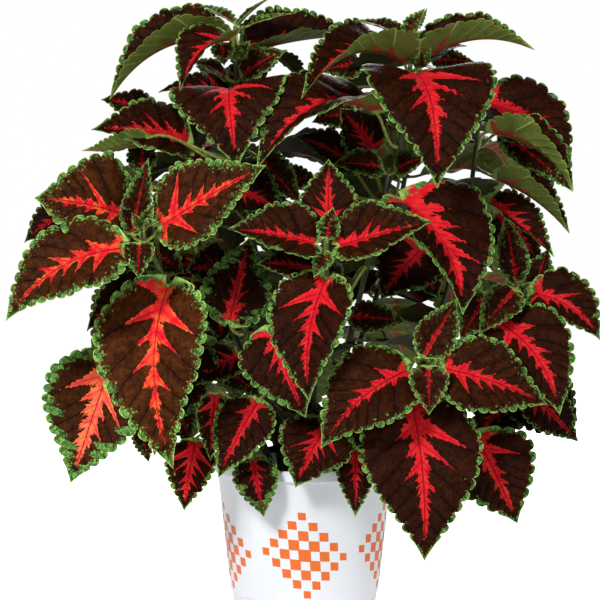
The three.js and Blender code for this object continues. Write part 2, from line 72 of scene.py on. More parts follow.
# Sizes in millimetres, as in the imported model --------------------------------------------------

POT_HEIGHT = 143
POT_WALL = 1.2
POT_TAPER = 0.11
POT_LEDGE_Z = 12
POT_LEDGE_RADIUS = 74.3
POT_BAND_HEIGHT = 11
POT_BAND_RADIUS = 91
POT_FOOT_RADIUS = 72
POT_MIDDLE_Z = 72  # the wall has a ring of points halfway up
DRAIN_HOLES = 6
DRAIN_HOLE_RADIUS = 5
DRAIN_HOLE_CIRCLE = 54
SHARP_ANGLE = 28  # degrees from which an edge of the pot is drawn sharp
PRINT_MIDDLE = 60  # height of the middle of the design on the wall
SOIL_TOP = 127
SOIL_SEGMENTS = 72
SEAT_GAP = 0.3
STEM_BASE = 4.4
STEM_TIP = 2.3
BRANCH_BASE = 3
SHOOT_STEPS = 61
STALK_RADIUS = 1.5
STALK_STEPS = 9
STALK_SWELL = 0.6  # how much wider a stalk is where it leaves the shoot

# The shape of a blade.
UPPER, UNDER, STALK = 0, 1, 2  # a leaf's materials, in the order of leaf_materials
SEED = 7
JOINED_SEED = 100  # added to a leaf's number, so that no two leaves are dealt the same dice
INNER_SEED = 300
OUTLINE_SHOULDER = 0.5
OUTLINE_TAPER = 1.2
TIP_PINCH = 0.08
BLADE_THICKNESS = 0.6
# points from midrib to margin, steps to a lobe and steps in the smooth tip
DETAIL = {"full": (9, 7, 7), "joined": (7, 6, 5), "inner": (5, 4, 3)}
LOBE_LENGTH = 9.5  # of a full-grown leaf's rounded teeth, along the margin
LOBE_DEPTH = 0.42  # share of that length
LOBE_LEAN = 0.8
LOBES_START = 0.02
LOBES_END = 0.9
CORDATE = 0.11
GROWN_WIDTH = 85  # a blade this wide has full-grown lobes and the widest green on them
FEWEST_LOBES = 7
MOST_LOBES = 14
MOST_LOBES_INSIDE = 9
FIRST_STATIONS = (0.001, 0.006, 0.014)
LAST_STATION = 0.992
LOBE_GREEN = (0.4, 1.4)  # share of its width that the green of one lobe may have
VEINS = 8  # lateral veins on each side
NET_CELL = 2.8  # size of the fine cells between the smallest veins
VEINLETS = 4.5  # dark veinlets in the green lobes for each lateral vein
CUP = 0.10
DROOP = 0.03
QUILT = 3.8
RIPPLE = 0.026

# Half width of the red flare's core along the blade, and how far its arms reach beyond it, both as
# shares of the blade's half width. The arms are placed by where their vein leaves the midrib.
FLARE_CORE = [(0, 0.05, 0.15, 0.35, 0.55, 0.75, 0.87, 0.9), (0.1, 0.2, 0.16, 0.11, 0.085, 0.05, 0.01, -0.1)]
FLARE_ARMS = [(-0.3, 0, 0.125, 0.25, 0.375, 0.5, 0.65, 0.8), (0.5, 0.6, 0.58, 0.46, 0.3, 0.2, 0.1, 0)]

# Centre lines of the shoots, from the lowest point up. A branch starts inside its parent.
SHOOTS = {
    "top_left": [(-12, 8, 103), (-12, 8, 132), (-28, 6, 230), (-52, -2, 370),
        (-66, -14, 490), (-68, -25, 572)],
    "low_middle": [(-22, 6.5, 185), (-36, -30, 225), (-52, -56, 262), (-60, -66, 282)],
    "top_right": [(14, 8, 103), (14, 8, 132), (38, 6, 230), (70, -5, 370), (98, -22, 480), (105, -30, 560)],
    "middle": [(61, -1, 330), (74, -18, 385), (82, -32, 434)],
    "centre": [(-2, -30, 103), (-2, -30, 132), (8, -52, 210), (16, -88, 286),
        (20, -118, 332), (19, -134, 365)],
    "left": [(-32, -8, 103), (-32, -8, 132), (-62, -25, 200), (-108, -58, 280),
        (-133, -82, 326), (-154, -106, 372)],
    "low_left": [(-80, -38, 232), (-120, -56, 236), (-160, -66, 240)],
    "front_right": [(24, -26, 103), (24, -26, 132), (46, -62, 176), (82, -116, 215), (108, -148, 250)],
    "right": [(36, 4, 103), (36, 4, 132), (80, -5, 190), (150, -25, 255), (195, -42, 298), (209, -50, 316)],
    "upper_right": [(112, -13, 220), (140, 10, 300), (164, 8, 400), (174, -5, 490)],
    "low_right": [(98, -9, 207), (136, -56, 216), (164, -84, 228)],
    "back_left": [(-24, 32, 103), (-24, 32, 132), (-55, 70, 220), (-100, 112, 320), (-130, 138, 415)],
    "back_right": [(22, 34, 103), (22, 34, 132), (50, 75, 230), (88, 118, 335), (110, 142, 435)],
}

# Shoots that grew together are one piece.
STEMS = {
    "stem_top_left": ["top_left", "low_middle"],
    "stem_top_right": ["top_right", "middle"],
    "stem_centre": ["centre"],
    "stem_left": ["left", "low_left"],
    "stem_front_right": ["front_right"],
    "stem_right": ["right", "upper_right", "low_right"],
    "stem_back_left": ["back_left"],
    "stem_back_right": ["back_right"],
}

# Leaves that replace a node. Columns: node, shoot, height where the stalk leaves it, base of the
# blade, tip, the way the upper face looks, width, how far the midrib bows, how far each half is
# folded up (degrees) and, where it isn't 0, how far the midrib swings to the left of its line.
LEAVES = [
    ("leaf_top_left_west", "top_left", 560, (-80, -15, 563), (-191, -31, 500), (-0.15, -0.36, 1),
     80, 20, 46),
    ("leaf_top_left_front", "top_left", 546, (-73, -49, 558), (-118, -90, 505), (-0.5, -0.75, 0.5),
     60, 14, 34),
    ("leaf_top_left_east", "top_left", 554, (-57, -15, 548), (57, 16, 566), (0.05, -0.55, 0.8), 72, 6, 46),
    ("leaf_top_left_hanging", "top_left", 508, (-72, -46, 510), (-63, -116, 430), (-0.1, -0.75,
     0.6), 112, 28, 12),
    ("leaf_top_left_north", "top_left", 500, (-70, 15, 515), (-76, 118, 455), (0, 0.65, 0.75), 92, 16, 18),
    ("leaf_upper_left", "top_left", 440, (-116, -24, 458), (-206, -56, 470), (-0.1, -0.72, 0.7), 84, 8, 18),
    ("leaf_middle_left_up", "low_middle", 274, (-72, -72, 287), (-53, -62, 367), (0, -0.95, -0.1),
     68, 3, 8),
    ("leaf_middle_front", "low_middle", 266, (-31, -104, 280), (1, -128, 199), (-0.25, -0.9, 0.35),
     78, 9, 14),
    ("leaf_middle_left_low", "low_middle", 240, (-64, -62, 250), (-113, -78, 222), (0, -0.75, 0.6),
     44, 8, 14),
    ("leaf_lower_middle", "low_middle", 222, (-45, -88, 209), (-82, -112, 140), (-0.1, -0.9, 0.35),
     58, 8, 12),
    ("leaf_top_right_west", "top_right", 524, (96, -38, 536), (-4, -130, 495), (-0.15, -0.4, 1),
     80, 26, 40),
    ("leaf_top_right_east", "top_right", 524, (117, -34, 541), (223, -42, 548), (0.1, -0.28, 1),
     70, 15, 44),
    ("leaf_top_right_hanging", "top_right", 512, (106, -52, 524), (122, -132, 412), (0.1, -0.65,
     0.75), 132, 34, 18),
    ("leaf_top_right_north", "top_right", 496, (110, 8, 508), (120, 110, 445), (0, 0.65, 0.75), 94, 16, 18),
    ("leaf_top_middle", "top_right", 456, (65, -60, 489), (-46, -124, 428), (-0.3, -0.6, 0.75), 98, 34, 26),
    ("leaf_middle_big", "middle", 398, (94, -78, 402), (145, -146, 296), (0.5, -0.8, 0.4), 118, 14, 26, -8),
    ("leaf_centre_up", "centre", 358, (22, -122, 376), (22, -104, 441), (0, -0.95, 0.2), 56, 3, 10),
    ("leaf_centre_left", "centre", 352, (9, -132, 362), (-71, -152, 376), (-0.1, -0.78, 0.62), 70, 3, 28),
    ("leaf_centre_right", "centre", 352, (32, -134, 360), (116, -160, 383), (0.1, -0.85, 0.55), 68, 2, 28),
    ("leaf_centre_front", "centre", 328, (19, -140, 329), (4, -176, 219), (-0.35, -0.9, 0.25), 84,
     10, 20, 5),
    ("leaf_lower_right_rim", "centre", 182, (48, -98, 165), (48, -105, 102), (0, -1, 0.2), 36, 5, 8),
    ("leaf_lower_centre", "centre", 196, (22, -90, 186), (-9, -112, 131), (-0.2, -0.9, 0.4), 76, 9, 12),
    ("leaf_left_west", "left", 356, (-169, -96, 388), (-252, -120, 404), (-0.1, -0.9, 0.42), 108, 8, 10),
    ("leaf_left_east", "left", 364, (-134, -116, 378), (-35, -152, 434), (0.1, -0.85, 0.5), 86, 4, 14),
    ("leaf_left_front", "left", 350, (-169, -140, 358), (-272, -167, 292), (-0.1, -0.78, 0.62), 88,
     12, 12, 10),
    ("leaf_left_hanging", "left", 322, (-130, -97, 320), (-121, -150, 154), (-0.2, -0.92, 0.3),
     114, 14, 22, 12),
    ("leaf_left_back", "left", 314, (-143, -62, 316), (-210, -72, 276), (-0.3, -0.7, 0.6), 60, 12, 16),
    ("leaf_lower_left", "low_left", 240, (-185, -74, 250), (-222, -106, 134), (-0.2, -0.93, 0.3),
     112, 8, 12, -3),
    ("leaf_lower_left_inner", "left", 206, (-86, -84, 216), (-90, -98, 154), (0, -0.95, 0.2), 32, 5, 10),
    ("leaf_left_rim", "left", 176, (-105, -80, 170), (-115, -98, 106), (-0.1, -0.95, 0.25), 50, 7, 10),
    ("leaf_front_rim", "left", 160, (-50, -88, 155), (-39, -101, 101), (0, -1, 0.25), 44, 6, 10),
    ("leaf_right_front_west", "front_right", 238, (94, -152, 246), (14, -176, 177), (-0.1, -0.85,
     0.5), 84, 10, 14, 6),
    ("leaf_right_front_east", "front_right", 238, (128, -154, 248), (222, -158, 215), (0.05, -0.85,
     0.5), 80, 8, 14),
    ("leaf_right_front_hanging", "front_right", 216, (99, -142, 213), (108, -182, 75), (0, -0.95,
     0.3), 112, 12, 8, -4),
    ("leaf_lower_right", "low_right", 218, (161, -112, 178), (198, -136, 101), (0.1, -0.95, 0.3), 88, 8, 8),
    ("leaf_right_hanging", "right", 276, (184, -92, 286), (236, -140, 203), (0.1, -0.85, 0.5), 86,
     12, 14, -8),
    ("leaf_right_east", "right", 306, (222, -52, 312), (283, -78, 268), (0.2, -0.78, 0.6), 72, 8, 16, -6),
    ("leaf_upper_right", "upper_right", 482, (180, -2, 498), (262, -22, 431), (0.1, -0.7, 0.7), 98,
     12, 12, -8),
    ("leaf_upper_right_low", "upper_right", 452, (182, -56, 468), (255, -88, 411), (0.3, -0.15, 1),
     74, 12, 40),
    ("leaf_upper_right_front", "upper_right", 396, (180, -42, 400), (239, -75, 348), (0.3, -0.7,
     0.7), 54, 3, 36),
    ("leaf_back_left_west", "back_left", 405, (-155, 135, 412), (-255, 130, 385), (-0.3, 0.3, 1),
     84, 16, 18),
    ("leaf_back_left_north", "back_left", 394, (-126, 160, 398), (-112, 262, 325), (0, 0.75, 0.65),
     98, 18, 12),
    ("leaf_back_left_east", "back_left", 405, (-108, 142, 416), (-26, 176, 452), (0, 0.5, 0.85),
     72, 12, 18),
    ("leaf_back_left_low", "back_left", 320, (-140, 118, 320), (-232, 155, 228), (-0.5, 0.6, 0.6),
     104, 18, 12),
    ("leaf_back_right_east", "back_right", 425, (133, 142, 432), (235, 140, 410), (0.3, 0.35, 1),
     84, 16, 18),
    ("leaf_back_right_north", "back_right", 414, (108, 168, 412), (104, 268, 335), (0, 0.8, 0.6),
     100, 18, 12),
    ("leaf_back_right_low", "back_right", 335, (122, 122, 335), (215, 160, 240), (0.5, 0.6, 0.6),
     104, 18, 12),
    ("leaf_back_middle", "back_left", 214, (-10, 120, 236), (5, 225, 150), (0, 0.8, 0.6), 108, 18, 12),
    ("leaf_back_lower_left", "back_left", 196, (-95, 96, 206), (-165, 160, 122), (-0.5, 0.6, 0.6),
     90, 14, 12),
    ("leaf_back_lower_right", "back_right", 196, (92, 100, 204), (165, 165, 118), (0.5, 0.6, 0.6),
     92, 14, 12),
]

# Leaves that belong to the node of their shoot. The columns are those of LEAVES without the node.
JOINED_LEAVES = [
    ("top_left", 568, (-66, -24, 574), (-33, -12, 602), (-0.7, -0.3, 0.6), 20, 2, 15),
    ("top_left", 564, (-63, -26, 570), (-12, -20, 585), (-0.3, -0.5, 0.8), 18, 2, 20),
    ("top_left", 566, (-70, -18, 577), (-111, 14, 596), (-0.2, -0.2, 1), 20, 4, 15),
    ("top_left", 518, (-77, -30, 522), (-111, -44, 536), (-0.1, -0.6, 0.7), 28, 4, 12),
    ("top_left", 520, (-60, -32, 524), (-17, -42, 547), (0.1, -0.7, 0.6), 40, 4, 12),
    ("top_right", 556, (107, -29, 568), (120, -28, 590), (0.6, -0.6, 0.2), 8, 1, 10),
    ("top_right", 552, (99, -24, 560), (47, 0, 580), (-0.1, -0.3, 1), 34, 4, 20),
    ("top_right", 530, (112, -18, 534), (162, 8, 556), (0.2, -0.3, 1), 36, 6, 20),
    ("middle", 428, (74, -36, 434), (26, -50, 436), (-0.1, -0.75, 0.6), 38, 4, 12),
    ("middle", 428, (90, -36, 432), (120, -44, 443), (0.1, -0.75, 0.6), 32, 4, 12),
    ("centre", 362, (20, -136, 368), (26, -142, 396), (0, -0.9, 0.3), 22, 1, 12),
    ("centre", 350, (21, -138, 354), (8, -150, 331), (0, -0.8, 0.5), 20, 2, 12),
    ("left", 366, (-162, -108, 372), (-147, -101, 442), (0, -0.95, 0.1), 34, 4, 34),
    ("left", 358, (-153, -136, 361), (-152, -153, 330), (0, -0.9, 0.4), 32, 4, 24),
    ("front_right", 248, (110, -150, 260), (140, -138, 312), (0.1, -0.95, 0.2), 42, 2, 22),
    ("front_right", 246, (112, -164, 249), (112, -180, 208), (0, -0.9, 0.4), 38, 4, 20),
    ("right", 312, (207, -42, 324), (197, -26, 388), (-0.1, -0.95, 0.2), 32, 2, 12),
    ("right", 312, (199, -88, 316), (163, -112, 276), (-0.1, -0.85, 0.5), 38, 4, 12),
    ("low_right", 226, (196, -84, 219), (260, -98, 174), (0.1, -0.9, 0.4), 52, 6, 12),
    ("back_left", 410, (-126, 142, 424), (-150, 160, 462), (0, 0.6, 0.6), 34, 4, 12),
    ("back_left", 410, (-132, 144, 420), (-160, 175, 408), (-0.2, 0.6, 0.7), 34, 4, 12),
    ("back_right", 430, (112, 146, 444), (138, 165, 480), (0, 0.6, 0.6), 34, 4, 12),
    ("back_right", 430, (108, 148, 440), (80, 170, 432), (0, 0.6, 0.7), 34, 4, 12),
    ("top_left", 540, (-64, 12, 548), (-42, 84, 520), (0, 0.6, 0.8), 58, 12, 16),
    ("top_left", 446, (-34, 24, 452), (44, 62, 424), (0, 0.3, 1), 84, 12, 16),
    ("top_left", 392, (-62, 36, 402), (-78, 116, 344), (0, 0.65, 0.75), 84, 14, 14),
    ("top_left", 372, (-90, 14, 378), (-186, 34, 336), (-0.3, 0.1, 1), 84, 14, 16),
    ("top_left", 318, (-14, 30, 326), (44, 88, 286), (0.2, 0.5, 0.85), 78, 12, 14),
    ("top_left", 300, (-72, 18, 304), (-160, 20, 262), (-0.3, 0, 1), 80, 14, 14),
    ("top_right", 540, (96, 8, 552), (62, 84, 530), (0, 0.6, 0.8), 56, 12, 16),
    ("top_right", 430, (80, 28, 436), (52, 112, 392), (0, 0.6, 0.8), 84, 14, 14),
    ("top_right", 380, (94, 26, 384), (134, 80, 352), (0.2, 0.4, 0.85), 66, 12, 14),
    ("top_right", 262, (84, 32, 258), (150, 76, 216), (0.3, 0.4, 0.85), 62, 12, 14),
    ("upper_right", 452, (180, 34, 458), (222, 112, 410), (0.3, 0.6, 0.75), 88, 16, 14),
    ("upper_right", 366, (166, 34, 370), (202, 100, 322), (0.3, 0.6, 0.75), 66, 12, 12),
    ("upper_right", 326, (176, 26, 326), (232, 62, 276), (0.3, 0.3, 0.9), 76, 14, 14),
    ("left", 236, (-104, -8, 238), (-176, 36, 190), (-0.4, 0.3, 0.85), 84, 14, 12),
    ("right", 240, (146, 14, 236), (214, 56, 182), (0.4, 0.3, 0.85), 88, 14, 12),
    ("back_left", 380, (-98, 118, 388), (-32, 146, 358), (0.1, 0, 1), 70, 12, 16),
    ("back_left", 330, (-82, 132, 336), (-30, 194, 284), (0.2, 0.6, 0.75), 84, 14, 12),
    ("back_left", 268, (-104, 84, 268), (-192, 84, 214), (-0.5, 0.2, 0.85), 84, 14, 14),
    ("back_left", 260, (-62, 108, 262), (-66, 202, 196), (0, 0.7, 0.7), 96, 16, 12),
    ("back_right", 360, (72, 104, 360), (4, 82, 332), (-0.1, 0.1, 1), 76, 12, 16),
    ("back_right", 350, (80, 140, 354), (22, 198, 300), (-0.1, 0.6, 0.75), 84, 14, 12),
    ("back_right", 268, (84, 116, 268), (118, 206, 206), (0.1, 0.7, 0.7), 88, 16, 12),
]
# Looks of a leaf: reach of the red flare's arms, share of orange in it, how brown (not maroon) the
# dark blade is, width of the green lobes, how many green flecks lie inside them, a factor of painted
# light over all its colours (below 1 painted shade, above 1 painted light), and the width of the
# flare's core.
Look = namedtuple("Look", "flare orange brown green flecks shade core")
LOOKS = {
    "full": Look(0.85, 0.08, 0.35, 0.95, 0.12, 1.0, 0.8),
    # painted half shade, for leaves behind others
    "shaded": Look(0.85, 0.08, 0.3, 0.95, 0.15, 0.55, 0.8),
    "broad": Look(1.3, 0.1, 0.2, 0.95, 0.1, 1.0, 1.15),
    # the broad look with painted light
    "rim": Look(1.3, 0.1, 0.2, 0.95, 0.1, 1.5, 1.15),
    "narrow": Look(0.62, 0.06, 0.55, 1.05, 0.25, 1.0, 0.55),
    "sunny": Look(0.9, 0.42, 1.0, 1.2, 0.8, 1.15, 0.55),
    # the sunny look with more painted light, for a leaf that hangs in the shade of the leaves above
    "sunny_painted_light": Look(0.9, 0.42, 1.0, 1.3, 0.8, 1.45, 0.55),
    "salmon": Look(0.95, 1.6, 0.85, 3.1, 0.3, 1.3, 1.1),
    "leafy": Look(0.6, 0.1, 0.3, 2.3, 0.3, 0.85, 0.8),
    # painted deep shade, for leaves inside the crown
    "inner": Look(0.9, 0.1, 0.1, 0.8, 0.1, 0.2, 0.8),
    "young": Look(0.35, 0.1, 0.75, 1.4, 0.4, 0.9, 0.4),
    "bud": Look(0.1, 0.1, 0.8, 2.6, 0.9, 1.0, 0.3),
}
LEAF_LOOKS = {
    "leaf_left_west": "sunny",
    "leaf_left_east": "sunny",
    "leaf_left_front": "sunny",
    "leaf_left_hanging": "sunny_painted_light",
    "leaf_lower_left": "salmon",
    "leaf_middle_left_up": "leafy",
    "leaf_front_rim": "leafy",
    "leaf_middle_big": "broad",
    "leaf_centre_left": "narrow",
    "leaf_centre_right": "narrow",
    "leaf_right_front_west": "narrow",
    "leaf_right_front_east": "narrow",
    "leaf_lower_left_inner": "rim",
    "leaf_left_rim": "rim",
}
YOUNG_WIDTH = 45  # a joined leaf narrower than this is a young one
BUD_WIDTH = 21  # and narrower than this it has only just opened

# Leaves that only fill out the plant. The columns are those of JOINED_LEAVES.
MORE_LEAVES = [
    ("left", 350, (-213, -88, 393), (-264, -106, 362), (-0.1, -0.8, 0.6), 48, 8, 12),
    ("top_left", 420, (-158, -40, 431), (-159, -38, 472), (0, -1, 0.1), 30, 2, 10),
    ("top_left", 430, (-153, -60, 462), (-214, -66, 450), (-0.1, 0.5, 0.85), 36, -4, 20),
    ("top_left", 440, (-154, 0, 484), (-203, 0, 502), (-0.1, -0.6, 0.8), 50, 6, 12),
    ("centre", 330, (10, -118, 335), (-45, -128, 343), (0, -0.7, 0.7), 48, 4, 14),
    ("right", 312, (224, -30, 314), (240, -24, 355), (0, -1, 0.1), 32, 2, 10),
    ("low_right", 222, (222, -60, 222), (263, -74, 189), (0, -0.95, 0.3), 56, 4, 12),
    ("left", 250, (-109, -60, 265), (-128, -78, 180), (0, -0.9, 0.4), 64, 8, 14),
    ("top_left", 520, (-68, -10, 515), (-17, 6, 552), (0.1, -0.5, 0.8), 48, 4, 16),
    ("top_left", 500, (-77, -20, 508), (-145, -8, 509), (-0.1, -0.5, 0.8), 50, 6, 16),
    ("low_right", 222, (200, -72, 214), (160, -90, 172), (0, -0.9, 0.4), 56, 4, 12),
    ("right", 300, (175, -60, 310), (148, -84, 267), (0, -0.9, 0.4), 42, 4, 12),
    ("middle", 400, (47, -10, 434), (-12, -20, 465), (-0.1, -0.6, 0.8), 62, 6, 16),
    ("middle", 410, (67, 0, 452), (35, 0, 494), (0, -0.8, 0.5), 56, 4, 16),
    ("top_right", 420, (113, -40, 354), (73, -60, 306), (-0.1, -0.9, 0.4), 70, 6, 14),
    ("top_right", 440, (89, -20, 368), (132, -40, 305), (0.1, -0.9, 0.4), 70, 6, 14),
    ("top_left", 380, (-73, -40, 412), (-19, -70, 388), (0.1, -0.8, 0.6), 66, 6, 14),
    ("low_middle", 270, (-77, -50, 334), (-115, -66, 335), (-0.1, -0.9, 0.4), 56, 4, 14),
    ("low_middle", 270, (-71, -45, 315), (-84, -60, 262), (0, -0.9, 0.4), 52, 4, 14),
    ("top_left", 330, (-5, -80, 343), (-33, -84, 379), (0, -0.9, 0.3), 50, 4, 14),
    ("upper_right", 436, (185, -66, 423), (251, -92, 371), (0.3, -0.15, 1), 60, 6, 44),
    ("top_left", 450, (-46, -20, 444), (-3, -34, 398), (0.1, -0.9, 0.4), 40, 3, 12),
    ("top_right", 330, (45, -30, 288), (101, -36, 283), (0, -0.9, 0.4), 34, 3, 12),
    ("left", 200, (-129, -50, 210), (-109, -60, 162), (0, -0.9, 0.4), 34, 3, 12),
    ("left", 220, (-81, -40, 240), (-42, -50, 210), (0, -0.9, 0.4), 34, 3, 12),
    ("left", 370, (-151, -118, 381), (-140, -124, 399), (0.3, -0.9, 0.3), 15, 2, 35),
    ("left", 369, (-152, -120, 378), (-161, -128, 391), (-0.3, -0.9, 0.4), 14, 2, 35),
    ("left", 368, (-149, -124, 375), (-135, -134, 382), (0.2, -0.8, 0.6), 15, 2, 30),
    ("front_right", 249, (109, -152, 249), (99, -158, 259), (-0.3, -0.8, 0.5), 15, 2, 30),
    ("front_right", 249, (112, -152, 249), (122, -158, 258), (0.3, -0.8, 0.5), 15, 2, 30),
    ("top_right", 556, (111, -34, 537), (101, -46, 553), (-0.3, -0.8, 0.5), 17, 2, 30),
    ("top_right", 556, (113, -34, 537), (122, -46, 553), (0.3, -0.8, 0.5), 17, 2, 30),
    ("top_right", 552, (112, -40, 532), (112, -54, 548), (0, -0.9, 0.4), 14, 2, 30),
    ("top_left", 568, (-65, -30, 543), (-73, -40, 559), (-0.3, -0.8, 0.5), 16, 2, 30),
    ("top_left", 568, (-63, -30, 543), (-53, -40, 557), (0.3, -0.8, 0.5), 16, 2, 30),
    ("right", 314, (203, -56, 309), (193, -66, 325), (-0.3, -0.8, 0.5), 18, 2, 30),
    ("right", 314, (207, -56, 309), (218, -66, 324), (0.3, -0.8, 0.5), 18, 2, 30),
    ("upper_right", 452, (193, -28, 466), (263, -32, 410), (-0.2, -0.8, 0.5), 36, 8, 14),
    ("middle", 410, (50, 20, 491), (7, 16, 480), (0, -0.9, 0.4), 36, 3, 12),
    ("low_right", 224, (213, -102, 220), (258, -108, 174), (0, -0.95, 0.3), 46, 5, 12),
    ("top_left", 540, (-80, -40, 553), (-78, -46, 532), (0, -0.95, 0.2), 24, 2, 14),
    ("top_right", 500, (53, 10, 538), (15, 6, 530), (0, -0.9, 0.4), 36, 3, 12),
    ("top_right", 520, (128, 0, 541), (169, -4, 539), (0, -0.9, 0.4), 24, 2, 12),
    ("right", 330, (194, -8, 390), (234, -14, 339), (0, -0.95, 0.2), 54, 5, 12),
    ("middle", 400, (-30, 10, 423), (18, 4, 422), (0, -0.9, 0.4), 32, 3, 12),
    ("left", 250, (-159, -60, 182), (-151, -64, 148), (0, -0.95, 0.2), 22, 2, 12),
    ("top_right", 556, (99, -34, 563), (117, -40, 588), (-0.3, -0.9, 0.1), 20, 2, 30),
    ("left", 300, (-152, -30, 353), (-118, -34, 330), (0, -0.9, 0.4), 40, 3, 12),
]

# The crown's outline from the front, across and up, and the openings that show through it.
CROWN = [
    (-90, 135), (-130, 150), (-190, 165), (-225, 210), (-215, 290), (-235, 340), (-235, 400), (-205, 450),
    (-185, 500), (-160, 548), (-110, 560), (-60, 575), (0, 570), (60, 575), (110, 580), (170, 560),
    (200, 520), (235, 490), (240, 420), (235, 370), (255, 300), (250, 210), (215, 150), (120, 130),
    (80, 145), (0, 140),
]
SKY_GAPS = [
    (-4, 441, 10), (-48, 352, 6), (86, 348, 8), (78, 310, 6), (170, 448, 5), (84, 420, 3),
    (-149, 455, 4), (-130, 223, 3), (-150, 530, 22), (-132, 514, 12), (13, 547, 15),
]
CROWN_HALF_WIDTH = 235
CROWN_HALF_DEPTH = 215
CROWN_MIDDLE_Y = 38
# The crown's girth up its height, as a share of its widest.
CROWN_GIRTH = [(150, 180, 240, 300, 430, 500, 560, 600), (0.7, 0.8, 0.95, 1, 1, 0.92, 0.7, 0.3)]
# Which view each round of inner leaves closes (0 front, 1 side, 2 and 3 diagonals, 4 above), how
# many places it tries, the least a leaf has to add, and the shortest and longest leaf.
ROUNDS = [
    (0, 900, 6, 58, 98), (0, 2600, 3, 40, 90), (2, 200, 10, 58, 98), (3, 200, 10, 58, 98),
    (1, 500, 7, 50, 98),
]
INNER_TRIES = 14
GRID = 10
INNER_CLEARANCE = 5
MOST_CROWDED = 6  # points of a leaf that may come nearer than that
MOST_IN_FRONT = 3  # points of a leaf that may stand in front of others
SIDE_TURNS = (90, 45, 135)  # directions of the views 1, 2 and 3
BOX_CLEARANCE = 6
TRY_ACROSS = (-230, 230)  # where the places to try lie: across, up and deep
TRY_UP = (150, 570)
TRY_DEEP = (-90, 230)
SHOOT_REACH = (35, 80)  # how far a leaf's middle may be from its shoot, and the farthest of all
FARTHEST_REACH = 95
STALK_LENGTHS = (9, 75)
MIDDLE_SAMPLE = 31  # the point of leaf_samples in the middle of a blade
FAR_SIDE_Y = 40
OUTER_CROWN = 0.6

CAMERA_PLACE = (-0.0046, -1.8, 0.4)
CAMERA_TARGET = (-0.0046, 0.0, 0.3025)
CAMERA_LENS = 108.15
CAMERA_SENSOR = 36
# Lamps: name, place, size and share of the key light's power.
LAMPS = [
    ("key", (-1.0, -1.7, 1.6), 0.6, 1), ("fill", (1.6, -1.5, 0.9), 1.4, 0.35),
    ("back", (0.4, 1.9, 1.5), 1.2, 0.9),
]
LAMP_TARGET = (0, 0, 0.3)


# Helpers --------------------------------------------------------------------------------------


def colour(hex_value, alpha=1.0):
    """Linear colour of an sRGB hex value."""
    parts = [int(hex_value[i : i + 2], 16) / 255 for i in (1, 3, 5)]
    return [p / 12.92 if p <= 0.04045 else ((p + 0.055) / 1.055) ** 2.4 for p in parts] + [alpha]


def add(tree, kind, inputs=(), **settings):
    """Adds a node. Each input is a value, a node (its first output) or (node, output)."""
    node = tree.nodes.new(kind)
    for key, value in settings.items():
        setattr(node, key, value)
    for key, value in inputs.items() if isinstance(inputs, dict) else enumerate(inputs):
        if isinstance(value, bpy.types.Node):
            tree.links.new(value.outputs[0], node.inputs[key])
        elif isinstance(value, tuple) and isinstance(value[0], bpy.types.Node):
            tree.links.new(value[0].outputs[value[1]], node.inputs[key])
        elif value is not None:
            node.inputs[key].default_value = value
    return node


def new_material(name):
    """A new material with its Principled shader, and the node tree that holds it."""
    material = bpy.data.materials.get(name) or bpy.data.materials.new(name)
    material.use_nodes = True
    tree = material.node_tree
    tree.nodes.clear()
    shader = add(tree, "ShaderNodeBsdfPrincipled")
    add(tree, "ShaderNodeOutputMaterial", {"Surface": shader})
    return material, tree, shader


def unit(vectors):
    """Vectors at unit length."""
    return vectors / np.linalg.norm(vectors, axis=-1, keepdims=True)


def square_to(vectors, directions):
    """Part of the vectors that is square to the unit directions, at unit length."""
    along = (vectors * directions).sum(-1, keepdims=True)
    return unit(vectors - along * directions)


def make_mesh(name, points, faces, face_materials, attributes, sharp=None):
    """A smooth mesh from points in millimetres. `sharp` marks the points of creased edges."""
    mesh = bpy.data.meshes.new(name)
    mesh.from_pydata((points * MM).tolist(), [], faces)
    mesh.polygons.foreach_set("material_index", np.asarray(face_materials, np.int32))
    mesh.polygons.foreach_set("use_smooth", np.ones(len(faces), bool))
    for key, values in attributes.items():
        layer = mesh.attributes.new(key, "FLOAT_VECTOR", "POINT")
        layer.data.foreach_set("vector", np.asarray(values, np.float32).ravel())
    if sharp is not None:
        ends = np.empty(len(mesh.edges) * 2, np.int32)
        mesh.edges.foreach_get("vertices", ends)
        creased = sharp[ends.reshape(-1, 2)].all(1)
        crease = mesh.attributes.new("sharp_edge", "BOOLEAN", "EDGE")
        crease.data.foreach_set("value", creased)
    mesh.validate()
    return mesh


def place(name, mesh, materials, nodes=()):
    """Puts a finished mesh in the scene as a piece on the plant's one body."""
    for material in materials:
        mesh.materials.append(material)
    piece = bpy.data.objects.new(name, mesh)
    bpy.context.scene.collection.objects.link(piece)
    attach(piece, BODY)
    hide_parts(*nodes)


# Shoots ---------------------------------------------------------------------------------------


def spline(points, places):
    """Points of a centripetal Catmull-Rom curve at places from 0 to 1."""
    knots = np.vstack([2 * points[0] - points[1], points, 2 * points[-1] - points[-2]])
    result = []
    for t in places:
        whole = min(int(t * (len(points) - 1)), len(points) - 2)
        w = t * (len(points) - 1) - whole
        a, b, c, d = knots[whole : whole + 4]
        before, here, after = (math.sqrt(np.linalg.norm(q - p)) for p, q in ((a, b), (b, c), (c, d)))
        out_b = ((b - a) / before - (c - a) / (before + here) + (c - b) / here) * here
        in_c = ((c - b) / here - (d - b) / (here + after) + (d - c) / after) * here
        result.append(
            b + out_b * w + (3 * (c - b) - 2 * out_b - in_c) * w**2 + (2 * (b - c) + out_b + in_c) * w**3
        )
    return np.array(result)


def shoot_path(shoot):
    """Points, directions and radii down the middle of a shoot."""
    knots = np.array(SHOOTS[shoot], float)
    places = np.linspace(0, 1, SHOOT_STEPS)
    points = spline(knots, places)
    base = STEM_BASE if knots[0][2] < SOIL_TOP else BRANCH_BASE
    return points, unit(np.gradient(points, axis=0)), base + (STEM_TIP - base) * places


PATHS = {shoot: shoot_path(shoot) for shoot in SHOOTS}


